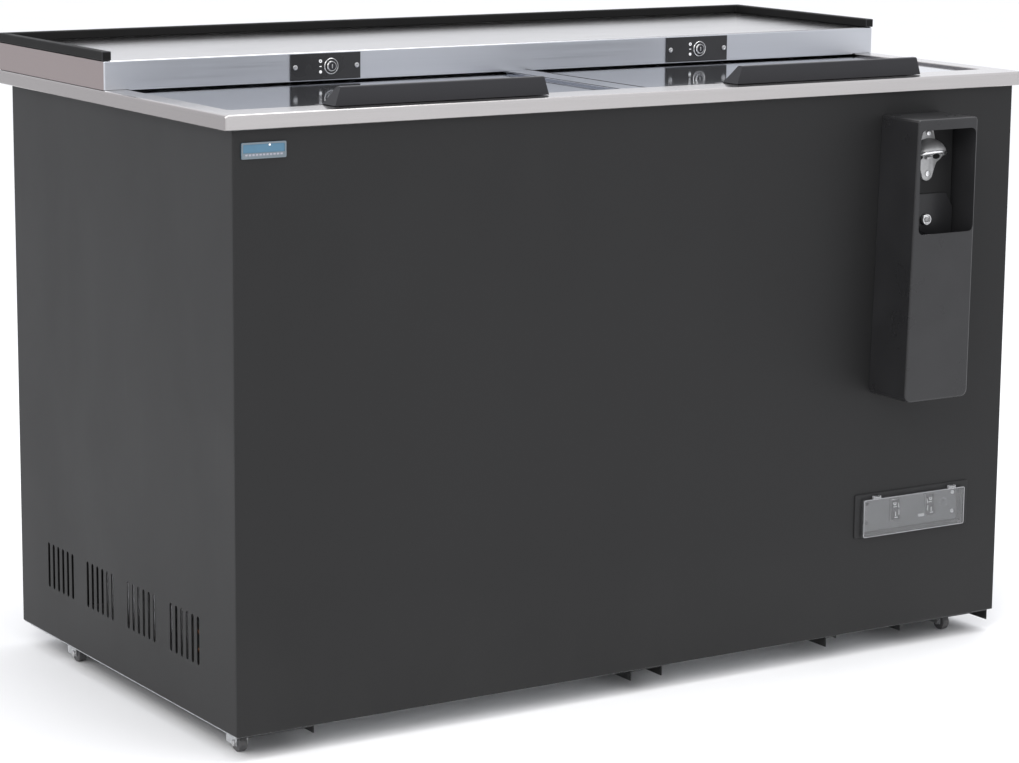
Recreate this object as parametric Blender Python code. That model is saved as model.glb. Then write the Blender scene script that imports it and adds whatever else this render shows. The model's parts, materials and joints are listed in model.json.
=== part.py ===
"""Deep-well bottle cooler: a steel chest on castors with two lids that slide back under a raised rear shelf.

Units are metres, +Z is up and the front faces -Y. The origin is on the floor, below the middle of the box.
Run with: blender --background --python part.py
"""

import math

import bmesh
import bpy
from mathutils import Matrix, Vector

# ---- driving dimensions -------------------------------------------------------------------------
RIM_WIDTH = 1.260
RIM_DEPTH = 0.680
RIM_EDGE = 0.019
RIM_OVER_SIDE = 0.0135
RIM_OVER_FRONT = 0.0075
RIM_OVER_REAR = 0.0165
RIM_BORDER_SIDE = 0.033
RIM_BORDER_FRONT = 0.055
RIM_BORDER_REAR = 0.033
FLOOR_GAP = 0.032
BODY_HEIGHT = 0.763
MACHINE_HEIGHT = 0.200
RISER_DEPTH = 0.339
RISER_HEIGHT = 0.038
BUMPER_HEIGHT = 0.012
BUMPER_WIDTH = 0.0132
BUMPER_PROUD = 0.0012
CATCHER_REACH = 0.080
SHEET = 0.0012
GAP = 0.0003
FOAM = 0.045
TANK_CORNER = 0.020
LID_DROP = 0.0035
LID_THICK = 0.026
MULLION_HALF = 0.022
LID_CENTRE = 0.307

# ---- places worked out from them ----------------------------------------------------------------
X_RIM = RIM_WIDTH / 2
X_BODY = X_RIM - RIM_OVER_SIDE
CATCHER_BEYOND_RIM = CATCHER_REACH - RIM_OVER_FRONT
Y_LOW = -(RIM_DEPTH + CATCHER_BEYOND_RIM + BUMPER_PROUD) / 2
Y_RIM_FRONT = Y_LOW + CATCHER_BEYOND_RIM
Y_RIM_REAR = Y_RIM_FRONT + RIM_DEPTH
Y_BODY_FRONT = Y_RIM_FRONT + RIM_OVER_FRONT
Y_BODY_REAR = Y_RIM_REAR - RIM_OVER_REAR
Y_RISER_FRONT = Y_RIM_REAR - RISER_DEPTH
Z_PAN = FLOOR_GAP
Z_PANEL_LOW = Z_PAN + SHEET + GAP
Z_RIM_LOW = FLOOR_GAP + BODY_HEIGHT
Z_RIM_TOP = Z_RIM_LOW + RIM_EDGE
Z_PANEL_TOP = Z_RIM_TOP - SHEET - GAP
Z_DECK = Z_PANEL_LOW + MACHINE_HEIGHT
Z_RISER_TOP = Z_RIM_TOP + RISER_HEIGHT
Z_LID_TOP = Z_RIM_TOP - LID_DROP
Z_LID_LOW = Z_LID_TOP - LID_THICK
Z_LEDGE = Z_LID_LOW - 0.0005
LEDGE_THICK = 0.003
X_OPEN = X_RIM - RIM_BORDER_SIDE
Y_OPEN_FRONT = Y_RIM_FRONT + RIM_BORDER_FRONT
Y_OPEN_REAR = Y_RIM_REAR - RIM_BORDER_REAR
X_FOAM = X_BODY - 0.0035
Y_FOAM_FRONT = Y_BODY_FRONT + SHEET + GAP
Y_FOAM_REAR = Y_BODY_REAR - 0.004
X_TANK = X_FOAM - FOAM - GAP
Y_TANK_FRONT = Y_FOAM_FRONT + FOAM + GAP
Y_TANK_REAR = Y_FOAM_REAR - FOAM - GAP
Z_TANK_FLOOR = Z_DECK + 2 * SHEET + FOAM + GAP
WELL_REAR = Y_RISER_FRONT + 0.004

# ---- materials ----------------------------------------------------------------------------------
MATERIALS = {
    "black_steel": ((0.042, 0.042, 0.043), 0.0, 0.38),
    "stainless": ((0.62, 0.61, 0.60), 1.0, 0.22),
    "polished": ((0.66, 0.66, 0.67), 1.0, 0.12),
    "galvanised": ((0.50, 0.51, 0.52), 1.0, 0.45),
    "black_plastic": ((0.030, 0.030, 0.032), 0.0, 0.45),
    "grey_plastic": ((0.42, 0.43, 0.44), 0.0, 0.50),
    "white_plastic": ((0.80, 0.80, 0.78), 0.0, 0.45),
    "clear_plastic": ((0.62, 0.64, 0.66), 0.0, 0.15),
    "foam": ((0.78, 0.72, 0.52), 0.0, 0.90),
    "cast_steel": ((0.66, 0.65, 0.63), 1.0, 0.35),
    "badge_blue": ((0.06, 0.23, 0.42), 0.0, 0.35),
    "copper": ((0.72, 0.38, 0.24), 1.0, 0.40),
    "wire_coat": ((0.75, 0.76, 0.76), 0.0, 0.40),
    "wheel_rubber": ((0.06, 0.06, 0.06), 0.0, 0.70),
}


def material(kind, name):
    """Each object gets its own material, made from one of the kinds above."""
    colour, metallic, roughness = MATERIALS[kind]
    mat = bpy.data.materials.new(name + "_material")
    mat.use_nodes = True
    shader = mat.node_tree.nodes["Principled BSDF"]
    shader.inputs["Base Color"].default_value = (*colour, 1.0)
    shader.inputs["Metallic"].default_value = metallic
    shader.inputs["Roughness"].default_value = roughness
    return mat


# ---- shape helpers ------------------------------------------------------------------------------
def finish_object(name, bm, kind, smooth=30.0):
    """Turn a bmesh into a named object with outward faces."""
    bmesh.ops.recalc_face_normals(bm, faces=bm.faces)
    mesh = bpy.data.meshes.new(name)
    bm.to_mesh(mesh)
    bm.free()
    mesh.shade_smooth()
    mesh.set_sharp_from_angle(angle=math.radians(smooth))
    obj = bpy.data.objects.new(name, mesh)
    bpy.context.scene.collection.objects.link(obj)
    obj.data.materials.append(material(kind, name))
    return obj


def cutter(obj):
    """A helper that only cuts: it stays out of renders and shows as a wire."""
    obj.hide_render = True
    obj.display_type = "WIRE"
    return obj


def boolean(obj, other, operation):
    """Join or cut with another object, which then becomes a helper."""
    mod = obj.modifiers.new(operation.lower() + "_" + other.name, "BOOLEAN")
    mod.operation = operation
    mod.object = cutter(other)
    return obj


def round_edges(obj, width, segments=2, angle=40.0):
    mod = obj.modifiers.new("edge_rounding", "BEVEL")
    mod.width = width
    mod.segments = segments
    mod.limit_method = "ANGLE"
    mod.angle_limit = math.radians(angle)
    mod.harden_normals = False
    return obj


def set_origin(obj, point):
    """Put the object's origin at a point, such as one on its joint's axis. Its shape stays where it is."""
    shift = Vector(point)
    obj.data.transform(Matrix.Translation(-shift))
    obj.location = shift
    return obj


AXIS_ORDER = {"X": (1, 2, 0), "Y": (0, 2, 1), "Z": (0, 1, 2)}


def to_axis(u, v, w, axis):
    """A point with two coordinates across the axis, in X, Y, Z order, and w along it."""
    point = [0.0, 0.0, 0.0]
    for value, place in zip((u, v, w), AXIS_ORDER[axis]):
        point[place] = value
    return point


def box(name, low, high, kind):
    bm = bmesh.new()
    bmesh.ops.create_cube(bm, size=1.0)
    size = Vector(high) - Vector(low)
    middle = (Vector(high) + Vector(low)) / 2
    bmesh.ops.transform(bm, matrix=Matrix.Translation(middle) @ Matrix.Diagonal((*size, 1.0)), verts=bm.verts)
    return finish_object(name, bm, kind)


def prism(name, outline, axis, low, high, kind, smooth=30.0):
    """A closed outline pushed along an axis from low to high."""
    bm = bmesh.new()
    first = [bm.verts.new(to_axis(u, v, low, axis)) for u, v in outline]
    last = [bm.verts.new(to_axis(u, v, high, axis)) for u, v in outline]
    bm.faces.new(first)
    bm.faces.new(list(reversed(last)))
    for i in range(len(outline)):
        j = (i + 1) % len(outline)
        bm.faces.new((first[i], first[j], last[j], last[i]))
    return finish_object(name, bm, kind, smooth)


def arc(centre_u, centre_v, radius, start, end, steps):
    """Points on an arc, angles in degrees."""
    points = []
    for i in range(steps + 1):
        angle = math.radians(start + (end - start) * i / steps)
        points.append((centre_u + radius * math.cos(angle), centre_v + radius * math.sin(angle)))
    return points


def rounded_rectangle(low_u, high_u, low_v, high_v, radius, steps=3):
    """Outline with round corners, anticlockwise from the low corner's right."""
    corners = (
        (high_u - radius, low_v + radius, 270),
        (high_u - radius, high_v - radius, 0),
        (low_u + radius, high_v - radius, 90),
        (low_u + radius, low_v + radius, 180),
    )
    points = []
    for centre_u, centre_v, start in corners:
        points.extend(arc(centre_u, centre_v, radius, start, start + 90, steps))
    return points


def stack(name, loops, axis, kind, closed=False, steps=3):
    """Walls through rounded rectangles (low_u, high_u, low_v, high_v, radius, level), one after the other.

    An open stack is capped at both ends. A closed one joins its last loop to its first and makes a ring.
    """
    bm = bmesh.new()
    rings = []
    for low_u, high_u, low_v, high_v, radius, level in loops:
        outline = rounded_rectangle(low_u, high_u, low_v, high_v, radius, steps)
        rings.append([bm.verts.new(to_axis(u, v, level, axis)) for u, v in outline])
    pairs = list(zip(rings, rings[1:]))
    if closed:
        pairs.append((rings[-1], rings[0]))
    else:
        bm.faces.new(rings[0])
        bm.faces.new(list(reversed(rings[-1])))
    for first, second in pairs:
        for i in range(len(first)):
            j = (i + 1) % len(first)
            bm.faces.new((first[i], first[j], second[j], second[i]))
    return finish_object(name, bm, kind)


def grown(rectangle, amount):
    """A rectangle (low_u, high_u, low_v, high_v) moved outwards by an amount on all sides."""
    low_u, high_u, low_v, high_v = rectangle
    return (low_u - amount, high_u + amount, low_v - amount, high_v + amount)


def turned(name, profile, centre, axis, kind, sides=24, smooth=40.0):
    """A solid of revolution: profile is (radius, level) from one end on the axis to the other."""
    bm = bmesh.new()
    centre_u, centre_v = centre
    rings = []
    for radius, level in profile:
        if radius == 0:
            rings.append([bm.verts.new(to_axis(centre_u, centre_v, level, axis))])
            continue
        ring = []
        for u, v in arc(centre_u, centre_v, radius, 0, 360 - 360 / sides, sides - 1):
            ring.append(bm.verts.new(to_axis(u, v, level, axis)))
        rings.append(ring)
    for first, second in zip(rings, rings[1:]):
        for i in range(sides):
            j = (i + 1) % sides
            if len(first) == 1:
                bm.faces.new((first[0], second[i], second[j]))
            elif len(second) == 1:
                bm.faces.new((first[i], first[j], second[0]))
            else:
                bm.faces.new((first[i], first[j], second[j], second[i]))
    return finish_object(name, bm, kind, smooth)


def rod(name, centre, axis, radius, low, high, kind, sides=20):
    return turned(name, [(0, low), (radius, low), (radius, high), (0, high)], centre, axis, kind, sides)


# ---- base -----------------------------------------------------------------------------------------
def make_base_pan():
    """Flat galvanised tray whose edge shows as a thin line under the panels, with an upturned lip inside."""
    full = (-X_BODY + 0.0006, X_BODY - 0.0006, Y_BODY_FRONT + 0.004, Y_BODY_REAR - 0.001)
    lip = grown(full, -0.0205)
    inner = grown(lip, -SHEET)
    top = Z_PAN + SHEET
    lip_top = top + 0.014
    loops = [
        (*full, 0.002, Z_PAN),
        (*full, 0.002, top),
        (*lip, 0.002, top),
        (*lip, 0.002, lip_top),
        (*inner, 0.0015, lip_top),
        (*inner, 0.0015, top),
    ]
    stack("base_pan", loops, "Z", "galvanised", steps=1)


RAILS = {
    "base_rail_left": (-0.6100, -0.5045, 0.0040, 0.0100),
    "base_rail_centre": (-0.0185, 0.0335, 0.0140, 0.0140),
    "base_rail_mid": (0.3136, 0.3330, 0.0140, 0.0040),
    "base_rail_right": (0.4472, 0.6100, 0.0090, 0.0145),
}


def make_base_rails():
    """Folded channels across the depth of the base, legs down."""
    thick = 0.0015
    web = Z_PAN - GAP
    for name, (left, right, left_drop, right_drop) in RAILS.items():
        outline = [
            (left, web - left_drop),
            (left + thick, web - left_drop),
            (left + thick, web - thick),
            (right - thick, web - thick),
            (right - thick, web - right_drop),
            (right, web - right_drop),
            (right, web),
            (left, web),
        ]
        prism(name, outline, "Y", Y_BODY_FRONT + 0.005, Y_BODY_REAR - 0.010, "black_steel")


CASTOR_X = {"left": -0.589, "right": 0.560}
CASTOR_Y = (Y_BODY_FRONT + 0.056, Y_BODY_REAR - 0.119)
WHEEL_RADIUS = 0.0120
WHEEL_HALF = 0.0055
CASTOR_TRAIL = 0.0090
FORK_TOP = Z_PAN - 0.0015 - 2 * GAP


def castor_places():
    """(name, x, y) of each swivel axis: front or rear, left or right."""
    places = []
    for row, y in zip(("front", "rear"), CASTOR_Y):
        for side, x in CASTOR_X.items():
            places.append((row + "_" + side, x, y))
    return places


def make_castor(name, x, y):
    """Low swivel castor: a pressed fork that turns on the base and a small wheel that trails in it."""
    axle_y = y - CASTOR_TRAIL
    outer = WHEEL_HALF + 0.0026
    inner = WHEEL_HALF + 0.0011
    plate = FORK_TOP - 0.0022
    fork = prism(
        "castor_fork_" + name,
        [(x - outer, WHEEL_RADIUS - 0.003), (x - inner, WHEEL_RADIUS - 0.003), (x - inner, plate),
         (x + inner, plate), (x + inner, WHEEL_RADIUS - 0.003), (x + outer, WHEEL_RADIUS - 0.003),
         (x + outer, FORK_TOP), (x - outer, FORK_TOP)],
        "Y",
        axle_y - 0.006,
        y + 0.012,
        "galvanised",
    )
    bearing = rod("castor_bearing_" + name, (x, y), "Z", 0.0115, plate + 0.0001, FORK_TOP - 0.0001,
                  "galvanised", 16)
    boolean(fork, bearing, "UNION")
    axle = rod("castor_axle_" + name, (axle_y, WHEEL_RADIUS), "X", 0.0024, x - outer - 0.001,
               x + outer + 0.001, "galvanised", 10)
    boolean(fork, axle, "UNION")
    wheel = turned(
        "castor_wheel_" + name,
        [(0.0026, x - WHEEL_HALF), (WHEEL_RADIUS - 0.001, x - WHEEL_HALF),
         (WHEEL_RADIUS, x - WHEEL_HALF + 0.001), (WHEEL_RADIUS, x + WHEEL_HALF - 0.001),
         (WHEEL_RADIUS - 0.001, x + WHEEL_HALF), (0.0026, x + WHEEL_HALF),
         (0.0026, x - WHEEL_HALF)],
        (axle_y, WHEEL_RADIUS),
        "X",
        "wheel_rubber",
        20,
    )
    set_origin(fork, (x, y, FORK_TOP))
    set_origin(wheel, (x, axle_y, WHEEL_RADIUS))


# ---- outer panels ---------------------------------------------------------------------------------
BEND = 0.0020
FRONT_FLANGE = 0.018
BAY_LOW = (0.368, 0.174)
BAY_HIGH = (0.545, 0.224)


def make_front_panel():
    """Full-width sheet with its side edges folded back, and a hole for the control bay."""
    inner_x = X_BODY - SHEET - GAP
    face = Y_BODY_FRONT
    fold = face + FRONT_FLANGE
    side_edge = face + SHEET + BEND
    right_side = arc(X_BODY - BEND, face + BEND, BEND, 270, 360, 4)
    left_side = arc(-X_BODY + BEND, face + BEND, BEND, 180, 270, 4)
    outline = right_side + [
        (X_BODY, side_edge),
        (inner_x, side_edge),
        (inner_x, fold),
        (inner_x - SHEET, fold),
        (inner_x - SHEET, face + SHEET),
        (-inner_x + SHEET, face + SHEET),
        (-inner_x + SHEET, fold),
        (-inner_x, fold),
        (-inner_x, side_edge),
        (-X_BODY, side_edge),
    ] + left_side
    panel = prism("front_panel", outline, "Z", Z_PANEL_LOW, Z_PANEL_TOP, "black_steel")
    hole = box("bay_hole", (BAY_LOW[0], face - 0.01, BAY_LOW[1]), (BAY_HIGH[0], face + 0.01, BAY_HIGH[1]),
               "foam")
    boolean(panel, hole, "DIFFERENCE")


VENT_GROUPS = 4
VENT_SLOTS = 6
VENT_PITCH = 0.0155
VENT_GROUP_PITCH = 0.1265
VENT_WIDTH = 0.0068
VENT_LOW = Z_PAN + 0.070
VENT_HIGH = Z_PAN + 0.134
VENT_MIDDLE = Y_RISER_FRONT + 0.001


def vent_centres():
    """Y of every slot, in groups spaced along the side."""
    centres = []
    for group in range(VENT_GROUPS):
        group_y = VENT_MIDDLE + (group - (VENT_GROUPS - 1) / 2) * VENT_GROUP_PITCH
        for slot in range(VENT_SLOTS):
            centres.append(group_y + (slot - (VENT_SLOTS - 1) / 2) * VENT_PITCH)
    return centres


def slot_cutter(name, outlines, axis, low, high):
    """One helper that holds a prism for every outline."""
    bm = bmesh.new()
    for outline in outlines:
        first = [bm.verts.new(to_axis(u, v, low, axis)) for u, v in outline]
        last = [bm.verts.new(to_axis(u, v, high, axis)) for u, v in outline]
        bm.faces.new(first)
        bm.faces.new(list(reversed(last)))
        for i in range(len(outline)):
            j = (i + 1) % len(outline)
            bm.faces.new((first[i], first[j], last[j], last[i]))
    return finish_object(name, bm, "foam")


def round_slot(low_u, high_u, low_v, high_v, steps=2):
    """Outline of a slot with half-round ends along its longer side, here v."""
    radius = (high_u - low_u) / 2
    middle = (high_u + low_u) / 2
    top = arc(middle, high_v - radius, radius, 0, 180, 2 * steps)
    bottom = arc(middle, low_v + radius, radius, 180, 360, 2 * steps)
    return top + bottom


def make_side_panel(name, sign):
    """Flat side sheet, folded in at the rear, with groups of upright vent slots low down."""
    outer = sign * X_BODY
    inner = sign * (X_BODY - SHEET)
    flange = sign * (X_BODY - 0.016)
    start = Y_BODY_FRONT + SHEET + BEND + GAP
    outline = [
        (outer, start),
        (outer, Y_BODY_REAR),
        (flange, Y_BODY_REAR),
        (flange, Y_BODY_REAR - SHEET),
        (inner, Y_BODY_REAR - SHEET),
        (inner, start),
    ]
    panel = prism(name, outline, "Z", Z_PANEL_LOW, Z_PANEL_TOP, "black_steel")
    half = VENT_WIDTH / 2
    slots = [round_slot(y - half, y + half, VENT_LOW, VENT_HIGH) for y in vent_centres()]
    low, high = sorted((outer + sign * 0.01, outer - sign * 0.01))
    boolean(panel, slot_cutter(name + "_slots", slots, "X", low, high), "DIFFERENCE")


def make_rear_panel():
    """Rear sheet behind the side flanges, with rows of breathing slots into the machine space."""
    rear = Y_BODY_REAR - SHEET - GAP
    half = X_BODY - 0.0065
    panel = box("rear_panel", (-half, rear - SHEET, Z_PANEL_LOW), (half, rear, Z_PANEL_TOP), "black_steel")
    slots = []
    for row in range(5):
        z = Z_PANEL_LOW + 0.055 + row * 0.022
        for column in range(-3, 4):
            x = column * 0.125
            outline = [(v, u) for u, v in round_slot(z - 0.0035, z + 0.0035, x - 0.045, x + 0.045, 1)]
            slots.append(outline)
    boolean(panel, slot_cutter("rear_slots", slots, "Y", rear - 0.01, rear + 0.01), "DIFFERENCE")


# ---- insulated well -------------------------------------------------------------------------------
def make_machine_deck():
    """Sheet floor under the foam, above the machine space."""
    low = (-X_FOAM + 0.001, Y_FOAM_FRONT + 0.001, Z_DECK)
    high = (X_FOAM - 0.001, Y_FOAM_REAR - 0.001, Z_DECK + SHEET)
    box("machine_deck", low, high, "galvanised")


def make_insulation():
    """Foamed box between the outer panels and the tank, open at the top."""
    outer = (-X_FOAM, X_FOAM, Y_FOAM_FRONT, Y_FOAM_REAR)
    inner = grown(outer, -FOAM)
    low = Z_DECK + SHEET + GAP
    top = Z_LEDGE - LEDGE_THICK - GAP
    loops = [
        (*outer, 0.004, low),
        (*outer, 0.004, top),
        (*inner, TANK_CORNER, top),
        (*inner, TANK_CORNER, low + FOAM),
    ]
    stack("insulation", loops, "Z", "foam")


def make_tank_liner():
    """Sheet tank that holds the bottles, open at the top."""
    outer = (-X_TANK, X_TANK, Y_TANK_FRONT, Y_TANK_REAR)
    inner = grown(outer, -SHEET)
    top = Z_LEDGE - LEDGE_THICK - GAP
    loops = [
        (*outer, TANK_CORNER - GAP, Z_TANK_FLOOR),
        (*outer, TANK_CORNER - GAP, top),
        (*inner, TANK_CORNER - GAP - SHEET, top),
        (*inner, TANK_CORNER - GAP - SHEET, Z_TANK_FLOOR + SHEET),
    ]
    stack("tank_liner", loops, "Z", "galvanised")


def make_breaker_frame():
    """Plastic frame on top of the foam: the ledge that the lids slide on, with a bar across the middle."""
    outer = (-X_FOAM, X_FOAM, Y_FOAM_FRONT, Y_FOAM_REAR)
    frame = box(
        "breaker_frame",
        (outer[0], outer[2], Z_LEDGE - LEDGE_THICK),
        (outer[1], outer[3], Z_LEDGE),
        "grey_plastic",
    )
    bar = MULLION_HALF + 0.018
    for side, low_x, high_x in (("left", -X_TANK + 0.003, -bar), ("right", bar, X_TANK - 0.003)):
        outline = rounded_rectangle(low_x, high_x, Y_TANK_FRONT + 0.003, Y_TANK_REAR - 0.003, 0.014, 3)
        hole = prism("well_hole_" + side, outline, "Z", Z_LEDGE - 0.02, Z_LEDGE + 0.02, "foam")
        boolean(frame, hole, "DIFFERENCE")


REAR_DECK_THICK = 0.030


def make_rear_deck():
    """Insulated cover over the rear of the tank, below the level at which the lids slide."""
    top = Z_LEDGE - LEDGE_THICK - GAP
    outer = (-X_TANK + 0.004, X_TANK - 0.004, WELL_REAR, Y_TANK_REAR - 0.004)
    chamfer = 0.003
    loops = [
        (*grown(outer, -chamfer), TANK_CORNER - chamfer, top - REAR_DECK_THICK),
        (*outer, TANK_CORNER, top - REAR_DECK_THICK + chamfer),
        (*outer, TANK_CORNER, top),
    ]
    stack("rear_deck", loops, "Z", "white_plastic")


# ---- top ------------------------------------------------------------------------------------------
def make_top_rim():
    """Folded stainless frame round the top: rounded edge, flat border, and a wall down to the lid ledge."""
    outer = (-X_RIM, X_RIM, Y_RIM_FRONT, Y_RIM_REAR)
    opening = (-X_OPEN, X_OPEN, Y_OPEN_FRONT, Y_OPEN_REAR)
    hem = grown(outer, -0.0058)
    loops = []
    edge = 0.0030
    corner = 0.0035
    for u, v in arc(edge, Z_RIM_TOP - edge, edge, 180, 90, 4):
        loops.append((*grown(outer, -u), corner, v))
    loops.append((*grown(opening, 0.0012), 0.0062, Z_RIM_TOP))
    loops.append((*opening, 0.005, Z_RIM_TOP - 0.0010))
    loops.append((*opening, 0.005, Z_LEDGE + GAP))
    loops.append((*grown(opening, SHEET), 0.005, Z_LEDGE + GAP))
    loops.append((*grown(opening, SHEET), 0.005, Z_RIM_TOP - SHEET))
    loops.append((*grown(outer, -SHEET), corner, Z_RIM_TOP - SHEET))
    loops.append((*grown(outer, -SHEET), corner, Z_RIM_LOW + SHEET))
    loops.append((*hem, corner, Z_RIM_LOW + SHEET))
    loops.append((*hem, corner, Z_RIM_LOW))
    loops.append((*grown(outer, -0.0008), corner, Z_RIM_LOW))
    loops.append((*outer, corner, Z_RIM_LOW + 0.0008))
    stack("top_rim", loops, "Z", "stainless", closed=True, steps=3)


def make_mullion():
    """Inverted channel between the two lids, level with the rim."""
    half = MULLION_HALF
    low = Z_LEDGE + GAP
    outline = [(-half, low), (-half + SHEET, low), (-half + SHEET, Z_RIM_TOP - SHEET)]
    outline += [(half - SHEET, Z_RIM_TOP - SHEET), (half - SHEET, low), (half, low)]
    outline += [(half, Z_RIM_TOP - 0.001), (half - 0.001, Z_RIM_TOP)]
    outline += [(-half + 0.001, Z_RIM_TOP), (-half, Z_RIM_TOP - 0.001)]
    prism("centre_mullion", outline, "Y", Y_OPEN_FRONT + GAP, Y_OPEN_REAR - GAP, "stainless")


LOCK_Z = Z_RIM_TOP + 0.0182
LOCK_RADIUS = 0.0068
LOCK_X = {"left": -LID_CENTRE + 0.011, "right": LID_CENTRE + 0.004}
PLATE_CENTRE = {"left": -LID_CENTRE + 0.003, "right": LID_CENTRE}


def make_riser():
    """Raised stainless shelf over the rear half. It is open below, and the lids slide back inside it."""
    outer = (-X_RIM + 0.0002, X_RIM - 0.0002, Y_RISER_FRONT, Y_RIM_REAR - 0.0002)
    low = Z_RIM_TOP + GAP
    bend = 0.0022
    loops = [(*outer, 0.0026, low)]
    for u, v in arc(bend, Z_RISER_TOP - bend, bend, 180, 90, 3):
        loops.append((*grown(outer, -u), 0.0026, v))
    cap = loops[-1]
    inner = grown(outer, -SHEET)
    inside = [(*inner, 0.0016, low), (*inner, 0.0016, Z_RISER_TOP - SHEET)]
    riser = stack("riser", [cap] + list(reversed(loops[:-1])) + inside, "Z", "stainless", steps=2)
    for side, x in LOCK_X.items():
        hole = rod("riser_lock_hole_" + side, (x, LOCK_Z), "Y", LOCK_RADIUS + 0.0010, Y_RISER_FRONT - 0.01,
                   Y_RISER_FRONT + 0.01, "foam", 16)
        boolean(riser, hole, "DIFFERENCE")


def make_bumper():
    """Black U-shaped guard rail round the sides and rear of the shelf, square at its front ends."""
    outer_x = X_RIM + BUMPER_PROUD
    inner_x = outer_x - BUMPER_WIDTH
    rear = Y_RIM_REAR + BUMPER_PROUD
    inner_rear = rear - BUMPER_WIDTH
    radius = 0.004
    outline = [(-outer_x, Y_RISER_FRONT), (-inner_x, Y_RISER_FRONT), (-inner_x, inner_rear)]
    outline += [(inner_x, inner_rear), (inner_x, Y_RISER_FRONT), (outer_x, Y_RISER_FRONT)]
    outline += arc(outer_x - radius, rear - radius, radius, 0, 90, 3)
    outline += arc(-outer_x + radius, rear - radius, radius, 90, 180, 3)
    low = Z_RISER_TOP + GAP
    bumper = prism("bumper", outline, "Z", low, Z_RISER_TOP + BUMPER_HEIGHT, "black_plastic")
    round_edges(bumper, 0.0012, 1, 60.0)


LID_SIDES = {"left": -1, "right": 1}
LID_OUTER = X_OPEN - 0.002
LID_INNER = MULLION_HALF + 0.002
LID_FRONT = Y_OPEN_FRONT + 0.0018
LID_REAR = Y_RISER_FRONT + 0.0135
HANDLE_HALF = 0.1585
HANDLE_SLANT = 0.0090
HANDLE_FRONT = Y_RIM_FRONT + 0.027
HANDLE_LOW = Z_RIM_TOP + 0.0008
HANDLE_TOP = Z_RIM_TOP + 0.0245
HANDLE_TOP_DEPTH = 0.009
HANDLE_DEPTH = 0.0345
HANDLE_REACH = 0.0520


def lid_rectangle(sign):
    low, high = sorted((sign * LID_OUTER, sign * LID_INNER))
    return (low, high, LID_FRONT, LID_REAR)


def make_lid_skin(side, sign):
    """Polished stainless pan over the lid, with its edges folded down."""
    outer = lid_rectangle(sign)
    inner = grown(outer, -0.0010)
    bend = 0.0012
    loops = [(*grown(outer, -bend), 0.003, Z_LID_TOP), (*outer, 0.004, Z_LID_TOP - bend)]
    loops += [(*outer, 0.004, Z_LID_LOW), (*inner, 0.003, Z_LID_LOW), (*inner, 0.003, Z_LID_TOP - 0.0010)]
    skin = stack("lid_skin_" + side, loops, "Z", "polished", steps=2)
    set_origin(skin, (sign * LID_CENTRE, LID_FRONT, Z_LID_LOW))


def make_lid_core(side, sign):
    """Foam slab with a plastic underside that fills the lid."""
    outer = grown(lid_rectangle(sign), -0.0010 - GAP)
    chamfer = 0.0020
    loops = [(*grown(outer, -chamfer), 0.004, Z_LID_LOW + 0.0002), (*outer, 0.004, Z_LID_LOW + chamfer)]
    loops += [(*outer, 0.004, Z_LID_TOP - 0.0010 - GAP)]
    core = stack("lid_core_" + side, loops, "Z", "white_plastic", steps=2)
    set_origin(core, (sign * LID_CENTRE, LID_FRONT, Z_LID_LOW))


def make_lid_handle(side, sign):
    """Black wedge pull over the front border: upright face, slanted ends, and a tongue fixed on the lid."""
    tongue_low = Z_LID_TOP + GAP
    tongue_top = tongue_low + 0.0018
    outline = [
        (HANDLE_FRONT, HANDLE_LOW),
        (HANDLE_FRONT, HANDLE_TOP - 0.0015),
        (HANDLE_FRONT + 0.0006, HANDLE_TOP - 0.0004),
        (HANDLE_FRONT + 0.0020, HANDLE_TOP),
        (HANDLE_FRONT + HANDLE_TOP_DEPTH - 0.0010, HANDLE_TOP),
        (HANDLE_FRONT + HANDLE_TOP_DEPTH + 0.0010, HANDLE_TOP - 0.0010),
        (HANDLE_FRONT + HANDLE_DEPTH, tongue_top),
        (HANDLE_FRONT + HANDLE_REACH, tongue_top),
        (HANDLE_FRONT + HANDLE_REACH, tongue_low),
        (LID_FRONT + 0.0005, tongue_low),
        (LID_FRONT + 0.0005, HANDLE_LOW),
    ]
    bm = bmesh.new()
    ends = []
    for end in (-1, 1):
        loop = []
        for y, z in outline:
            rise = (z - tongue_low) / (HANDLE_TOP - tongue_low)
            inset = HANDLE_SLANT * rise
            x = sign * LID_CENTRE + end * (HANDLE_HALF - inset)
            loop.append(bm.verts.new((x, y, z)))
        ends.append(loop)
    bm.faces.new(ends[0])
    bm.faces.new(list(reversed(ends[1])))
    for i in range(len(outline)):
        j = (i + 1) % len(outline)
        bm.faces.new((ends[0][i], ends[0][j], ends[1][j], ends[1][i]))
    handle = finish_object("lid_handle_" + side, bm, "black_plastic", 50.0)
    set_origin(handle, (sign * LID_CENTRE, HANDLE_FRONT, HANDLE_LOW))


def make_lock_plate(side):
    """Black plate on the face of the shelf with a hole for the key cylinder."""
    centre = PLATE_CENTRE[side]
    rear = Y_RISER_FRONT - GAP
    low = (centre - 0.0530, rear - 0.0020, Z_RIM_TOP + 0.0004)
    high = (centre + 0.0530, rear, Z_RISER_TOP - 0.0022)
    plate = box("lock_plate_" + side, low, high, "black_plastic")
    hole = rod("plate_hole_" + side, (LOCK_X[side], LOCK_Z), "Y", LOCK_RADIUS + 0.0004, rear - 0.01,
               rear + 0.01, "foam", 24)
    boolean(plate, hole, "DIFFERENCE")


CAM_LENGTH = 0.0270
CAM_HALF = 0.0045


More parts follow.
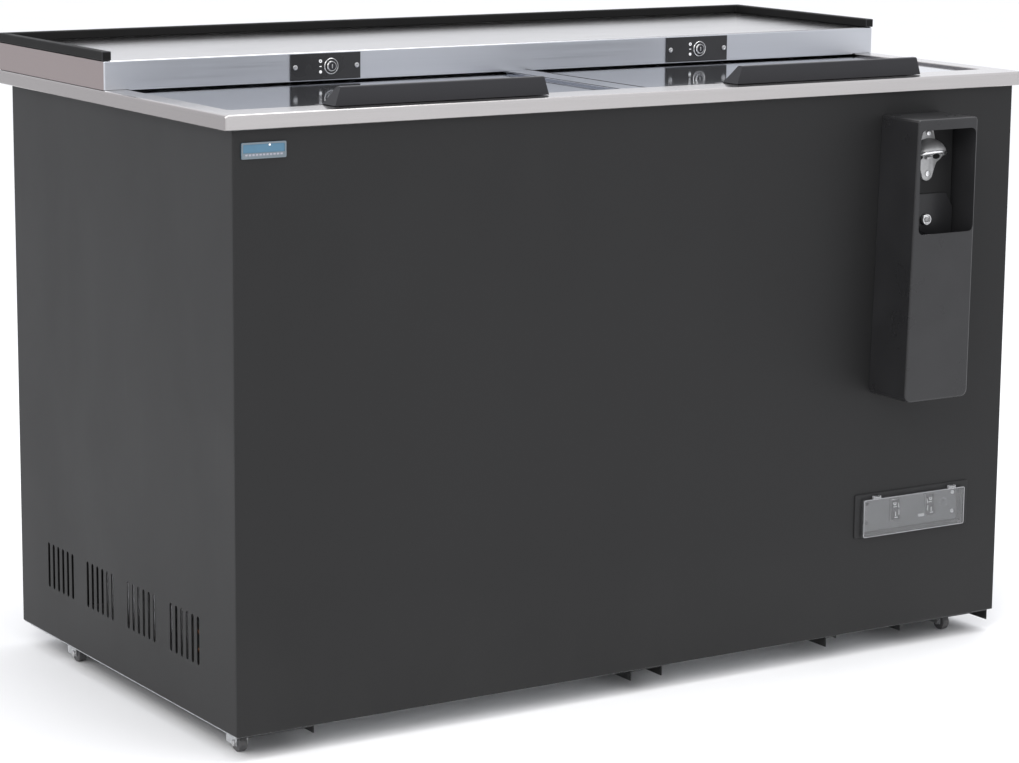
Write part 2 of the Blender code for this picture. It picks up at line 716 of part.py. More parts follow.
def make_lock_cylinder(side):
    """Key cylinder with a cam behind it. The cam turns down behind the closed lid and stops it sliding."""
    x = LOCK_X[side]
    front = Y_RISER_FRONT - GAP - 0.0045
    cam_front = LID_REAR + 0.0035
    cam_rear = cam_front + 0.0030
    body = turned(
        "lock_cylinder_" + side,
        [(0, front), (LOCK_RADIUS - 0.0012, front), (LOCK_RADIUS, front + 0.0010),
         (LOCK_RADIUS, cam_front + 0.0005), (0.004, cam_front + 0.0005), (0.004, cam_rear + 0.0010), (0, cam_rear + 0.0010)],
        (x, LOCK_Z),
        "Y",
        "cast_steel",
        24,
    )
    key_slot = box("key_slot_" + side, (x - 0.0006, front - 0.002, LOCK_Z - 0.0036),
                   (x + 0.0006, front + 0.0030, LOCK_Z + 0.0036), "foam")
    boolean(body, key_slot, "DIFFERENCE")
    cam = box("lock_cam_" + side, (x - CAM_LENGTH, cam_front, LOCK_Z - CAM_HALF),
              (x + 0.0050, cam_rear, LOCK_Z + CAM_HALF), "cast_steel")
    boolean(body, cam, "UNION")
    set_origin(body, (x, front, LOCK_Z))


def make_badge():
    """Blank name badge near the top left of the front."""
    rear = Y_BODY_FRONT - GAP
    low_z = Z_PAN + 0.7268
    outline = rounded_rectangle(-0.6055, -0.5440, low_z, low_z + 0.0200, 0.0015, 2)
    prism("badge", outline, "Y", rear - 0.0012, rear, "badge_blue")


# ---- cap catcher and opener -----------------------------------------------------------------------
CATCHER_LEFT_TOP = 0.3828
CATCHER_LEFT_LOW = 0.3735
CATCHER_RIGHT_TOP = 0.4865
CATCHER_RIGHT_LOW = 0.4840
CATCHER_LOW = Z_PAN + 0.343
CATCHER_TOP = Z_PAN + 0.732
CATCHER_WALL = 0.0020
CATCHER_MIDDLE = 0.4335
WINDOW = (0.3872, 0.4835, Z_PAN + 0.5750, Z_PAN + 0.7175)
BRACKET_REACH = 0.0350
BACK_PLATE_TOP = Z_PAN + 0.624
THUMB_Z = Z_PAN + 0.589
OPENER_Z = Z_PAN + 0.680


def catcher_outline(inset):
    """Front outline of the catcher: slightly wider at the bottom, with round lower corners."""
    low = CATCHER_LOW + inset
    top = CATCHER_TOP - inset
    radius = 0.0100 - inset
    small = 0.0035 - inset / 2
    outline = arc(CATCHER_LEFT_LOW + inset + radius, low + radius, radius, 180, 270, 4)
    outline += arc(CATCHER_RIGHT_LOW - inset - radius, low + radius, radius, 270, 360, 4)
    outline += arc(CATCHER_RIGHT_TOP - inset - small, top - small, small, 0, 90, 2)
    outline += arc(CATCHER_LEFT_TOP + inset + small, top - small, small, 90, 180, 2)
    return outline


def make_catcher_cover():
    """Moulded box that hangs on the front: open at the back, with a window for the bottle's neck."""
    rear = Y_BODY_FRONT - 0.0008
    front = Y_BODY_FRONT - CATCHER_REACH
    bm = bmesh.new()
    loops = []
    edge = 0.0025
    levels = [(0.0, rear), (0.0, front + edge), (edge * 0.3, front + edge * 0.3), (edge, front)]
    for inset, y in levels:
        loops.append([bm.verts.new((u, y, v)) for u, v in catcher_outline(inset)])
    for inset, y in ((CATCHER_WALL, rear), (CATCHER_WALL, front + CATCHER_WALL)):
        loops.insert(0, [bm.verts.new((u, y, v)) for u, v in catcher_outline(inset)])
    bm.faces.new(loops[0])
    bm.faces.new(list(reversed(loops[-1])))
    for first, second in zip(loops, loops[1:]):
        for i in range(len(first)):
            j = (i + 1) % len(first)
            bm.faces.new((first[i], first[j], second[j], second[i]))
    cover = finish_object("catcher_cover", bm, "black_plastic")
    window = prism("catcher_window", rounded_rectangle(*WINDOW, 0.0080, 4), "Y", front - 0.01, front + 0.01,
                   "foam")
    boolean(cover, window, "DIFFERENCE")
    set_origin(cover, (CATCHER_MIDDLE, rear, THUMB_Z))


def make_catcher_bracket():
    """Hat-shaped bracket on the cabinet. The opener is screwed to its face, and the catcher slips over it."""
    rear = Y_BODY_FRONT - GAP
    front = Y_BODY_FRONT - BRACKET_REACH
    thick = 0.0015
    left = CATCHER_LEFT_TOP + CATCHER_WALL + 0.0020
    right = CATCHER_RIGHT_LOW - CATCHER_WALL - 0.0020
    outline = [(left, front), (right, front), (right, rear), (right - thick, rear)]
    outline += [(right - thick, front + thick)]
    outline += [(left + thick, front + thick), (left + thick, rear), (left, rear)]
    bracket = prism("catcher_bracket", outline, "Z", CATCHER_LOW + 0.060, CATCHER_TOP - 0.010, "black_steel")
    hole = rod("bracket_hole", (CATCHER_MIDDLE, THUMB_Z), "Y", 0.0030, front - 0.01, front + 0.01, "foam", 12)
    boolean(bracket, hole, "DIFFERENCE")


def make_catcher_back_plate():
    """Rear wall of the catcher's bin, low enough to leave the opener free."""
    face = Y_BODY_FRONT - BRACKET_REACH - GAP
    left = CATCHER_LEFT_TOP + CATCHER_WALL + GAP
    right = CATCHER_RIGHT_LOW - CATCHER_WALL - GAP
    low = CATCHER_LOW + 0.0125
    notch = 0.0105
    radius = 0.0040
    outline = [(left, low), (right, low), (right, BACK_PLATE_TOP - 0.020)]
    outline += arc(right - notch - radius, BACK_PLATE_TOP - radius, radius, 0, 90, 3)
    outline += arc(left + notch + radius, BACK_PLATE_TOP - radius, radius, 90, 180, 3)
    outline += [(left, BACK_PLATE_TOP - 0.020)]
    plate = prism("catcher_back_plate", outline, "Y", face - 0.0018, face, "black_plastic")
    hole = rod("back_plate_hole", (CATCHER_MIDDLE, THUMB_Z), "Y", 0.0030, face - 0.01, face + 0.01, "foam",
               12)
    boolean(plate, hole, "DIFFERENCE")


def make_thumb_screw():
    """Knurled screw that holds the catcher on its bracket."""
    face = Y_BODY_FRONT - BRACKET_REACH - GAP - 0.0018 - GAP
    screw = turned(
        "thumb_screw",
        [(0, face - 0.0050), (0.0040, face - 0.0050), (0.0045, face - 0.0042), (0.0060, face - 0.0050),
         (0.0072, face - 0.0050), (0.0078, face - 0.0042), (0.0078, face), (0.0026, face),
         (0.0026, face + 0.0080), (0, face + 0.0080)],
        (CATCHER_MIDDLE, THUMB_Z),
        "Y",
        "cast_steel",
        24,
    )
    set_origin(screw, (CATCHER_MIDDLE, face, THUMB_Z))


def make_bottle_opener():
    """Cast wall opener: a screw tab above and below, and a curved hood with a cap lip under it."""
    rear = Y_BODY_FRONT - BRACKET_REACH - GAP
    tab = prism(
        "bottle_opener",
        arc(CATCHER_MIDDLE, OPENER_Z - 0.0270, 0.0105, 190, 350, 6)
        + [(CATCHER_MIDDLE + 0.0200, OPENER_Z + 0.0060)]
        + arc(CATCHER_MIDDLE, OPENER_Z + 0.0270, 0.0100, 10, 170, 6)
        + [(CATCHER_MIDDLE - 0.0200, OPENER_Z + 0.0060)],
        "Y",
        rear - 0.0040,
        rear,
        "cast_steel",
    )
    bm = bmesh.new()
    sides = 12
    rings = []
    hood_top = OPENER_Z + 0.0260
    hood_low = OPENER_Z - 0.0020
    for share, reach in ((0.10, 0.04), (0.55, 0.42), (0.85, 0.74), (1.0, 1.0)):
        z = hood_top + (hood_low - hood_top) * (reach ** 1.2)
        ring = []
        for i in range(sides + 1):
            angle = math.pi * i / sides
            x = CATCHER_MIDDLE + 0.0285 * share * math.cos(angle)
            y = rear - 0.0010 - 0.0270 * reach * math.sin(angle)
            ring.append((x, y, z - 0.004 * reach * math.sin(angle)))
        rings.append(ring)
    outer = [[bm.verts.new(p) for p in ring] for ring in rings]
    bm.faces.new(outer[0])
    for first, second in zip(outer, outer[1:]):
        for i in range(sides):
            bm.faces.new((first[i], first[i + 1], second[i + 1], second[i]))
    low = [bm.verts.new((x, y, z - 0.0022)) for x, y, z in rings[-1]]
    for i in range(sides):
        bm.faces.new((outer[-1][i], outer[-1][i + 1], low[i + 1], low[i]))
    bm.faces.new(low)
    rear_side = [ring[0] for ring in outer] + [low[0], low[-1]] + [ring[-1] for ring in reversed(outer)]
    bm.faces.new(rear_side)
    hood = finish_object("opener_hood", bm, "cast_steel")
    pocket = rod("opener_pocket", (CATCHER_MIDDLE, rear - 0.0120), "Z", 0.0115, hood_low - 0.02,
                 hood_low + 0.006, "foam", 20)
    boolean(hood, pocket, "DIFFERENCE")
    boolean(tab, hood, "UNION")


# ---- controls -------------------------------------------------------------------------------------
BEZEL = (0.3545, 0.5585, Z_PAN + 0.1370, Z_PAN + 0.2005)
BEZEL_PROUD = 0.0022
BAY_DEPTH = 0.034
PLATE_DEPTH = 0.003
FLAP = (0.3668, 0.5490, Z_PAN + 0.1385, Z_PAN + 0.1925)
FLAP_AXIS_Z = Z_PAN + 0.1945
FLAP_AXIS_Y = Y_BODY_FRONT - BEZEL_PROUD - 0.0030
FLAP_THICK = 0.0020
FLAP_LUGS = (0.3905, 0.5262)
ROCKERS = {"power_switch": 0.4290, "light_switch": 0.4918}
ROCKER_Z = Z_PAN + 0.1705
ROCKER_HALF = (0.0070, 0.0145)
ROCKER_TILT = 8.0


def make_control_bezel():
    """Moulded surround with a shallow bay behind the panel."""
    front = Y_BODY_FRONT - BEZEL_PROUD
    rear = Y_BODY_FRONT - GAP
    hole = (BAY_LOW[0] + 0.0005, BAY_HIGH[0] - 0.0005, BAY_LOW[1] + 0.0005, BAY_HIGH[1] - 0.0005)
    inner = grown(hole, -0.0015)
    deep = Y_BODY_FRONT + BAY_DEPTH
    loops = [
        (*grown(BEZEL, -0.0010), 0.0025, front),
        (*BEZEL, 0.0030, front + 0.0010),
        (*BEZEL, 0.0030, rear),
        (*hole, 0.0020, rear),
        (*hole, 0.0020, deep),
        (*inner, 0.0015, deep),
        (*inner, 0.0015, front),
    ]
    stack("control_bezel", loops, "Y", "black_plastic", closed=True, steps=2)


def make_control_plate():
    """Grey plate inside the bay, with a cut-out for each rocker."""
    face = Y_BODY_FRONT + PLATE_DEPTH
    low = (BAY_LOW[0] + 0.0030, face, BAY_LOW[1] + 0.0030)
    high = (BAY_HIGH[0] - 0.0030, face + 0.0015, BAY_HIGH[1] - 0.0030)
    plate = box("control_plate", low, high, "grey_plastic")
    for name, x in ROCKERS.items():
        wide, tall = ROCKER_HALF
        hole = box(name + "_hole", (x - wide - 0.0004, face - 0.01, ROCKER_Z - tall - 0.0006),
                   (x + wide + 0.0004, face + 0.01, ROCKER_Z + tall + 0.0006), "foam")
        boolean(plate, hole, "DIFFERENCE")


def make_rocker(name, x):
    """Rocker key that tips about its middle. Its top is pressed in at rest."""
    wide, tall = ROCKER_HALF
    pivot_y = Y_BODY_FRONT + PLATE_DEPTH + 0.0030
    outline = [
        (pivot_y - 0.0065, ROCKER_Z - tall + 0.0004),
        (pivot_y - 0.0045, ROCKER_Z),
        (pivot_y - 0.0065, ROCKER_Z + tall - 0.0004),
        (pivot_y + 0.0020, ROCKER_Z + tall - 0.0016),
        (pivot_y + 0.0060, ROCKER_Z),
        (pivot_y + 0.0020, ROCKER_Z - tall + 0.0016),
    ]
    rocker = prism(name, outline, "X", x - wide, x + wide, "black_plastic")
    set_origin(rocker, (x, pivot_y, ROCKER_Z))
    rocker.rotation_euler = (math.radians(-ROCKER_TILT), 0.0, 0.0)


def make_control_flap():
    """Clear cover over the controls, hung from two knuckles along its top edge."""
    low_u, high_u, low_v, high_v = FLAP
    front = FLAP_AXIS_Y - FLAP_THICK / 2
    outline = rounded_rectangle(low_u, high_u, low_v, high_v, 0.0025, 2)
    flap = prism("control_flap", outline, "Y", front, front + FLAP_THICK, "clear_plastic")
    for number, x in enumerate(FLAP_LUGS):
        knuckle = rod("flap_knuckle_%d" % number, (FLAP_AXIS_Y, FLAP_AXIS_Z), "X", 0.0024, x - 0.0042,
                      x + 0.0042, "clear_plastic", 10)
        boolean(flap, knuckle, "UNION")
    set_origin(flap, ((low_u + high_u) / 2, FLAP_AXIS_Y, FLAP_AXIS_Z))


def make_thermostat():
    """Thermostat body behind the control plate."""
    face = Y_BODY_FRONT + PLATE_DEPTH + 0.0020
    low = (0.5000, face, ROCKER_Z - 0.0120)
    high = (0.5350, face + 0.0200, ROCKER_Z + 0.0120)
    round_edges(box("thermostat", low, high, "black_plastic"), 0.0015, 1)


# ---- machine space --------------------------------------------------------------------------------
COMPRESSOR = (-0.180, 0.140)
FAN_X = -0.470
FAN_Y = 0.020
FAN_Z = Z_PANEL_LOW + 0.095
FAN_RADIUS = 0.076


def make_compressor():
    """Hermetic compressor: a domed steel pot on a foot plate."""
    low = Z_PAN + SHEET + 0.010
    x, y = COMPRESSOR
    profile = [(0, low), (0.078, low), (0.078, low + 0.012), (0.074, low + 0.060), (0.078, low + 0.068)]
    profile += [(0.078, low + 0.078), (0.072, low + 0.084)]
    for radius, level in arc(0.0, low + 0.100, 1.0, 20, 80, 3):
        profile.append((radius * 0.070, low + 0.100 + (level - low - 0.100) * 0.055))
    profile.append((0, low + 0.158))
    pot = turned("compressor", profile, (x, y), "Z", "black_steel", 24)
    foot = box("compressor_foot", (x - 0.110, y - 0.070, low - 0.008), (x + 0.110, y + 0.070, low + 0.002),
               "foam")
    boolean(pot, foot, "UNION")


def make_condenser():
    """Finned condenser behind the left vents."""
    x = -X_BODY + 0.030
    low = (x, FAN_Y - 0.130, Z_PANEL_LOW + 0.018)
    high = (x + 0.050, FAN_Y + 0.130, Z_PANEL_LOW + 0.182)
    coil = box("condenser", low, high, "copper")
    grooves = []
    for i in range(12):
        y = FAN_Y - 0.110 + i * 0.020
        outer = x + 0.020
        inner = x - 0.001
        grooves.append([(inner, y - 0.004), (outer, y - 0.004), (outer, y + 0.004), (inner, y + 0.004)])
    cuts = slot_cutter("condenser_grooves", grooves, "Z", low[2] + 0.010, high[2] - 0.010)
    boolean(coil, cuts, "DIFFERENCE")


def make_fan_shroud():
    """Plate with a round mouth that guides air from the condenser to the fan."""
    x = -X_BODY + 0.081
    low = (x, FAN_Y - 0.130, Z_PANEL_LOW + 0.018)
    high = (x + 0.002, FAN_Y + 0.130, Z_PANEL_LOW + 0.182)
    shroud = box("fan_shroud", low, high, "galvanised")
    mouth = rod("fan_mouth", (FAN_Y, FAN_Z), "X", FAN_RADIUS + 0.003, x - 0.01, x + 0.01, "foam", 32)
    boolean(shroud, mouth, "DIFFERENCE")


def make_condenser_fan():
    """Hub with pitched blades that spins about the X axis."""
    fan = rod("condenser_fan", (FAN_Y, FAN_Z), "X", 0.020, FAN_X - 0.052, FAN_X - 0.024, "grey_plastic", 20)
    for blade in range(5):
        bm = bmesh.new()
        angle = 2 * math.pi * blade / 5
        corners = []
        for radius, spread in ((0.017, 0.20), (FAN_RADIUS - 0.004, 0.34)):
            for side in (-1, 1):
                for thick in (-0.0008, 0.0008):
                    turn = angle + side * spread
                    x = FAN_X - 0.038 + side * 0.008 + thick
                    corners.append((x, FAN_Y + radius * math.cos(turn), FAN_Z + radius * math.sin(turn)))
        verts = [bm.verts.new(corner) for corner in corners]
        bmesh.ops.convex_hull(bm, input=verts)
        boolean(fan, finish_object("fan_blade_%d" % blade, bm, "foam"), "UNION")
    set_origin(fan, (FAN_X - 0.038, FAN_Y, FAN_Z))


def make_fan_motor():
    """Fan motor on a foot that stands on the base pan."""
    motor = rod("fan_motor", (FAN_Y, FAN_Z), "X", 0.030, FAN_X - 0.0230, FAN_X + 0.0300, "black_steel", 20)
    foot = box("fan_motor_foot", (FAN_X - 0.012, FAN_Y - 0.020, Z_PAN + SHEET + GAP),
               (FAN_X + 0.018, FAN_Y + 0.020, FAN_Z - 0.010), "foam")
    boolean(motor, foot, "UNION")


# ---- inside the well ------------------------------------------------------------------------------
def make_evaporator():
    """Finned cooling coil hung under the rear deck."""
    top = Z_LEDGE - LEDGE_THICK - GAP - REAR_DECK_THICK - 0.004
    low = (-0.420, Y_TANK_REAR - 0.070, top - 0.120)
    high = (0.420, Y_TANK_REAR - 0.012, top)
    coil = box("evaporator", low, high, "galvanised")
    grooves = []
    for i in range(20):
        x = -0.399 + i * 0.042
        grooves.append([(x - 0.012, low[1] - 0.001), (x + 0.012, low[1] - 0.001), (x + 0.012, low[1] + 0.020),
                        (x - 0.012, low[1] + 0.020)])
    cuts = slot_cutter("evaporator_grooves", grooves, "Z", low[2] + 0.012, high[2] - 0.012)
    boolean(coil, cuts, "DIFFERENCE")


DIVIDER_X = {"divider_left": -0.300, "divider_right": 0.300}


def make_divider(name, x):
    """Coated rack between rows of bottles, standing on the tank floor from front to rear."""
    low_y = Y_TANK_FRONT + 0.022
    high_y = Y_TANK_REAR - 0.080
    low_z = Z_TANK_FLOOR + SHEET + GAP
    high_z = low_z + 0.280
    bar = 0.005
    rack = box(name, (x - bar / 2, low_y, low_z), (x + bar / 2, high_y, high_z), "wire_coat")
    openings = []
    columns = 6
    rows = 3
    step_y = (high_y - low_y - bar) / columns
    step_z = (high_z - low_z - bar) / rows
    for column in range(columns):
        for row in range(rows):
            y = low_y + bar + column * step_y
            z = low_z + bar + row * step_z
            openings.append([(y, z), (y + step_y - bar, z), (y + step_y - bar, z + step_z - bar),
                             (y, z + step_z - bar)])
    boolean(rack, slot_cutter(name + "_openings", openings, "X", x - 0.01, x + 0.01), "DIFFERENCE")


# ---- build ----------------------------------------------------------------------------------------
def clear_scene():
    for obj in list(bpy.data.objects):
        bpy.data.objects.remove(obj)


def main():
    clear_scene()
    make_base_pan()
    make_base_rails()
    for name, x, y in castor_places():
        make_castor(name, x, y)
    make_front_panel()
    make_side_panel("left_side_panel", -1)
    make_side_panel("right_side_panel", 1)
    make_rear_panel()
    make_machine_deck()
    make_insulation()
    make_tank_liner()
    make_breaker_frame()
    make_rear_deck()
    make_top_rim()
    make_mullion()
    make_riser()
    make_bumper()
    for side, sign in LID_SIDES.items():
        make_lid_skin(side, sign)
        make_lid_core(side, sign)
        make_lid_handle(side, sign)
        make_lock_plate(side)
        make_lock_cylinder(side)
    make_badge()
    make_catcher_cover()
    make_catcher_bracket()
    make_catcher_back_plate()
    make_thumb_screw()
    make_bottle_opener()
    make_control_bezel()
    make_control_plate()
    for name, x in ROCKERS.items():
        make_rocker(name, x)
    make_control_flap()
    make_thermostat()
    make_compressor()
    make_condenser()
    make_fan_shroud()
    make_condenser_fan()
    make_fan_motor()
    make_evaporator()
    for name, x in DIVIDER_X.items():
        make_divider(name, x)


main()
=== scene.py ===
"""Looks of the bottle cooler chest: procedural materials, small fittings, floor, light and camera."""

import json
import math

import bmesh
import bpy
from mathutils import Matrix, Vector


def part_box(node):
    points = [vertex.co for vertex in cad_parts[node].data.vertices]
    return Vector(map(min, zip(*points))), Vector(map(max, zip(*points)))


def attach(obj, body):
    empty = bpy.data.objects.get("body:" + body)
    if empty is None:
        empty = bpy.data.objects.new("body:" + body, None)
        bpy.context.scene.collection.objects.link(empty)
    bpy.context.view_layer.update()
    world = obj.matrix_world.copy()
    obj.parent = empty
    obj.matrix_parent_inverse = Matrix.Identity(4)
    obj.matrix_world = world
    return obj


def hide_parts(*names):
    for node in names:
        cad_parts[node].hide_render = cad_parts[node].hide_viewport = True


for startup in ("Cube", "Light", "Camera"):
    if startup in bpy.data.objects:
        bpy.data.objects.remove(bpy.data.objects[startup])

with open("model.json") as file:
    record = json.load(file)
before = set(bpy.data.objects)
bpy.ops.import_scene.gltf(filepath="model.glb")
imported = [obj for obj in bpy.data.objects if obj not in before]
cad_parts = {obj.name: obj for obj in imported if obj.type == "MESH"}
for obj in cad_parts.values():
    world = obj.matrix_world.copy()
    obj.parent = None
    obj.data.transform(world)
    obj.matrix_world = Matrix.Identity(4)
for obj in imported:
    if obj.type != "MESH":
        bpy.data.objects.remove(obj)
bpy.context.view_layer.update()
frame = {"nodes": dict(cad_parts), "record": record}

NODES = frame["nodes"]
UP = Vector((0, 0, 1))
FRONT = Vector((0, -1, 0))
REAR = Vector((0, 1, 0))
LEFT = Vector((-1, 0, 0))
RIGHT = Vector((1, 0, 0))
SIDES = (("left", -1), ("right", 1))

# Sizes in metres, angles in degrees.
CLEAR = 0.0001
LOCK_CYLINDER_RADIUS = 0.0068
LOCK_SCREW_OFFSET = 0.047
LOCK_MARK_ACROSS = 0.0165
LOCK_MARK_RISE = 0.0072
BADGE_BORDER = 0.0022
BADGE_DASHES = 11
OPENER_MIDDLE = 0.0375
HOOD_HALF = 0.0280
HOOD_DEEP = 0.0255
HOOD_DROP = 0.0255
HOOD_WALL = 0.0024
LIP_HALF = 0.0266
LIP_DEEP = 0.0242
LIP_ARCH = 0.0086
LIP_RADIUS = 0.0021
ROCKER_TILT = -8.0
ROCKER_CROWN = 0.0020
ROCKER_REACH = 0.0046
DIAL_RADIUS = 0.0068
DIAL_TICKS = 7
KNUCKLE_HEIGHT = 0.0043
PIN_HALF = 0.0054
REAR_SCREW_INSET = 0.020
REAR_SCREW_COLUMNS = 6
PLATE_RIGHT = 0.150
PLATE_UP = 0.620
CAP_HALF = 0.0064
PLUG_PITCH = 0.120
CONDENSER_BENDS = 6
CONDENSER_BEND_RADIUS = 0.0125
CONDENSER_TUBE_RADIUS = 0.0040
COIL_BENDS = 5
COIL_BEND_RADIUS = 0.013
COIL_TUBE_RADIUS = 0.0042
LEAD_PITCH = 0.004
LEAD_RADIUS = 0.0014
GUARD_RINGS = 3
GUARD_SPOKES = 4
RACK_ROWS = 4
RACK_COLUMNS = 13
RACK_FRAME_WIRE = 0.0024
RACK_WIRE = 0.0015
HEM_HALF = 0.5940
HANDLE_SCREW_PITCH = 0.120
FLOOR_HALF = 60.0
CAMERA_PLACE = (-2.35935, -3.67045, 1.21679)
CAMERA_YAW = 32.3967
CAMERA_PITCH = 10.8747
CAMERA_ROLL = 0.4951
CAMERA_LENS = 111.43


# ---- materials ------------------------------------------------------------------------------------
class Finish:
    """One procedural material: a Principled shader and short helpers that add nodes to it."""

    def __init__(self, name, metallic=0.0, specular=0.5, colour=(0.5, 0.5, 0.5), roughness=0.5):
        self.material = bpy.data.materials.new(name)
        self.material.use_nodes = True
        self.tree = self.material.node_tree
        self.shader = self.tree.nodes["Principled BSDF"]
        self.set("Metallic", metallic)
        self.set("Specular IOR Level", specular)
        self.set("Base Color", (*colour, 1.0))
        self.set("Roughness", roughness)
        self.place = self.add("ShaderNodeTexCoord").outputs["Object"]
        self.material.diffuse_color = (*colour, 1.0)

    def add(self, kind, inputs=None, **settings):
        node = self.tree.nodes.new(kind)
        for key, value in settings.items():
            setattr(node, key, value)
        for key, value in (inputs or {}).items():
            if isinstance(value, bpy.types.NodeSocket):
                self.tree.links.new(value, node.inputs[key])
            else:
                node.inputs[key].default_value = value
        return node

    def set(self, name, value):
        if isinstance(value, bpy.types.NodeSocket):
            self.tree.links.new(value, self.shader.inputs[name])
        else:
            self.shader.inputs[name].default_value = value

    def stretched(self, scale):
        return self.add("ShaderNodeMapping", {"Vector": self.place, "Scale": scale}).outputs["Vector"]

    def noise(self, scale, detail=3.0, roughness=0.55, distortion=0.0):
        """Noise with its own scale along each axis, in cycles per metre."""
        found = self.add(
            "ShaderNodeTexNoise",
            {"Vector": self.stretched(scale), "Scale": 1.0, "Detail": detail, "Roughness": roughness,
             "Distortion": distortion},
        )
        return found.outputs["Fac"]

    def cells(self, scale, feature="F1", output="Color"):
        found = self.add(
            "ShaderNodeTexVoronoi", {"Vector": self.stretched((scale, scale, scale)),
                                     "Scale": 1.0}, feature=feature
        )
        return found.outputs[output]

    def span(self, value, low, high, first, last):
        """Maps low..high to first..last, and holds the ends."""
        found = self.add(
            "ShaderNodeMapRange",
            {"Value": value, "From Min": low, "From Max": high, "To Min": first, "To Max": last},
        )
        return found.outputs["Result"]

    def sums(self, first, second, operation="ADD"):
        found = self.add("ShaderNodeMath", operation=operation)
        for socket, value in zip(found.inputs, (first, second)):
            if isinstance(value, bpy.types.NodeSocket):
                self.tree.links.new(value, socket)
            else:
                socket.default_value = value
        return found.outputs[0]

    def mix(self, share, first, last):
        found = self.add("ShaderNodeMix", data_type="RGBA")
        self.tree.links.new(share, found.inputs[0])
        for socket, value in ((found.inputs[6], first), (found.inputs[7], last)):
            if isinstance(value, bpy.types.NodeSocket):
                self.tree.links.new(value, socket)
            else:
                socket.default_value = (*value, 1.0)
        return found.outputs[2]

    def bump(self, height, strength, distance):
        found = self.add("ShaderNodeBump", {"Height": height, "Strength": strength, "Distance": distance})
        self.set("Normal", found.outputs["Normal"])


def shade(colour, factor):
    return tuple(min(1.0, part * factor) for part in colour)


def brushed_steel(name, colour, roughness, grain, contrast=0.07, bump=0.10, ends=None, shelf=None):
    """Ground stainless: long fine grain along one axis, faint wipe marks, and a few deeper hairlines. The ends
    colour is painted side shade on faces turned to the sides; the shelf colour is painted top shade on faces
    turned up.
    """
    finish = Finish(name, metallic=1.0, colour=colour, roughness=roughness)
    fine = [620.0, 620.0, 620.0]
    long = [190.0, 190.0, 190.0]
    fine[grain] = 5.0
    long[grain] = 1.5
    grains = finish.noise(fine, 4.0, 0.6)
    bands = finish.noise(long, 2.0, 0.5)
    wipes = finish.noise((7.0, 9.0, 9.0), 3.0, 0.6, 0.6)
    shares = finish.sums(finish.span(grains, 0.3, 0.7, 0.0, 0.6), finish.span(bands, 0.3, 0.7, 0.0, 0.4))
    base = finish.mix(shares, shade(colour, 1 - contrast), shade(colour, 1 + contrast))
    normal = finish.add("ShaderNodeNewGeometry").outputs["Normal"]
    facing = finish.add("ShaderNodeSeparateXYZ", {"Vector": normal})
    # ends: painted side shade, faces turned to either side are mixed towards a darker, warmer colour.
    if ends:
        share = finish.span(finish.sums(facing.outputs["X"], 0.0, "ABSOLUTE"), 0.5, 0.95, 0.0, 1.0)
        base = finish.mix(share, base, ends)
    top = finish.span(facing.outputs["Z"], 0.5, 0.95, 0.0, 1.0)
    # shelf: painted top shade, faces turned up are mixed towards a darker colour.
    if shelf:
        base = finish.mix(top, base, shelf)
    finish.set("Base Color", base)
    rough = finish.sums(finish.span(grains, 0.3, 0.7, roughness * 0.85, roughness * 1.15),
                        finish.span(wipes, 0.45, 0.75, 0.0, 0.04))
    if shelf:
        rough = finish.sums(rough, finish.span(top, 0.0, 1.0, 1.0, 0.45), "MULTIPLY")
    finish.set("Roughness", rough)
    finish.bump(shares, bump, 0.0002)
    return finish.material


def painted(name, colour, roughness, peel=420.0, specular=0.4, bump=0.12, dust=0.0):
    """Powder-coated sheet: orange peel, tiny specks, cloudy gloss, faint rubs and a little dust low down."""
    finish = Finish(name, specular=specular, colour=colour, roughness=roughness)
    peels = finish.noise((peel, peel, peel), 3.0, 0.55)
    clouds = finish.noise((5.0, 5.0, 3.0), 4.0, 0.6, 0.4)
    specks = finish.noise((1500.0, 1500.0, 1500.0), 1.0)
    rubs = finish.noise((14.0, 60.0, 3.0), 5.0, 0.7, 1.2)
    base = finish.mix(finish.span(clouds, 0.3, 0.7, 0.0, 1.0), shade(colour, 0.93), shade(colour, 1.08))
    base = finish.mix(finish.span(specks, 0.60, 0.74, 0.0, 0.30), base, shade(colour, 2.2))
    if dust:
        height = finish.add("ShaderNodeSeparateXYZ", {"Vector": finish.place}).outputs["Z"]
        layer = finish.sums(finish.span(height, 0.03, 0.20, dust, 0.0),
                            finish.span(clouds, 0.35, 0.7, 0.3, 1.0),
                            "MULTIPLY")
        base = finish.mix(layer, base, (0.17, 0.165, 0.155))
    finish.set("Base Color", base)
    rough = finish.sums(finish.span(clouds, 0.3, 0.7, roughness - 0.04, roughness + 0.04),
                        finish.span(rubs, 0.62, 0.80, 0.0, -0.05))
    finish.set("Roughness", rough)
    finish.bump(finish.sums(peels, finish.span(specks, 0.5, 0.7, 0.0, 0.25)), bump, 0.0003)
    return finish.material


def moulded(name, colour, roughness, specular=0.4, stipple=900.0, bump=0.15, scuffs=0.05):
    """Moulded plastic: fine spark texture, soft colour drift and shallow handling scuffs."""
    finish = Finish(name, specular=specular, colour=colour, roughness=roughness)
    grain = finish.noise((stipple, stipple, stipple), 2.0, 0.6)
    drift = finish.noise((18.0, 18.0, 18.0), 3.0, 0.55)
    marks = finish.noise((40.0, 260.0, 30.0), 4.0, 0.7, 1.5)
    base = finish.mix(finish.span(drift, 0.3, 0.7, 0.0, 1.0), shade(colour, 0.90), shade(colour, 1.12))
    base = finish.mix(finish.span(marks, 0.66, 0.80, 0.0, 0.25), base, shade(colour, 1.6))
    finish.set("Base Color", base)
    rough = finish.sums(finish.span(drift, 0.3, 0.7, roughness - 0.04, roughness + 0.04),
                        finish.span(marks, 0.62, 0.80, 0.0, scuffs))
    finish.set("Roughness", rough)
    finish.bump(grain, bump, 0.00015)
    return finish.material


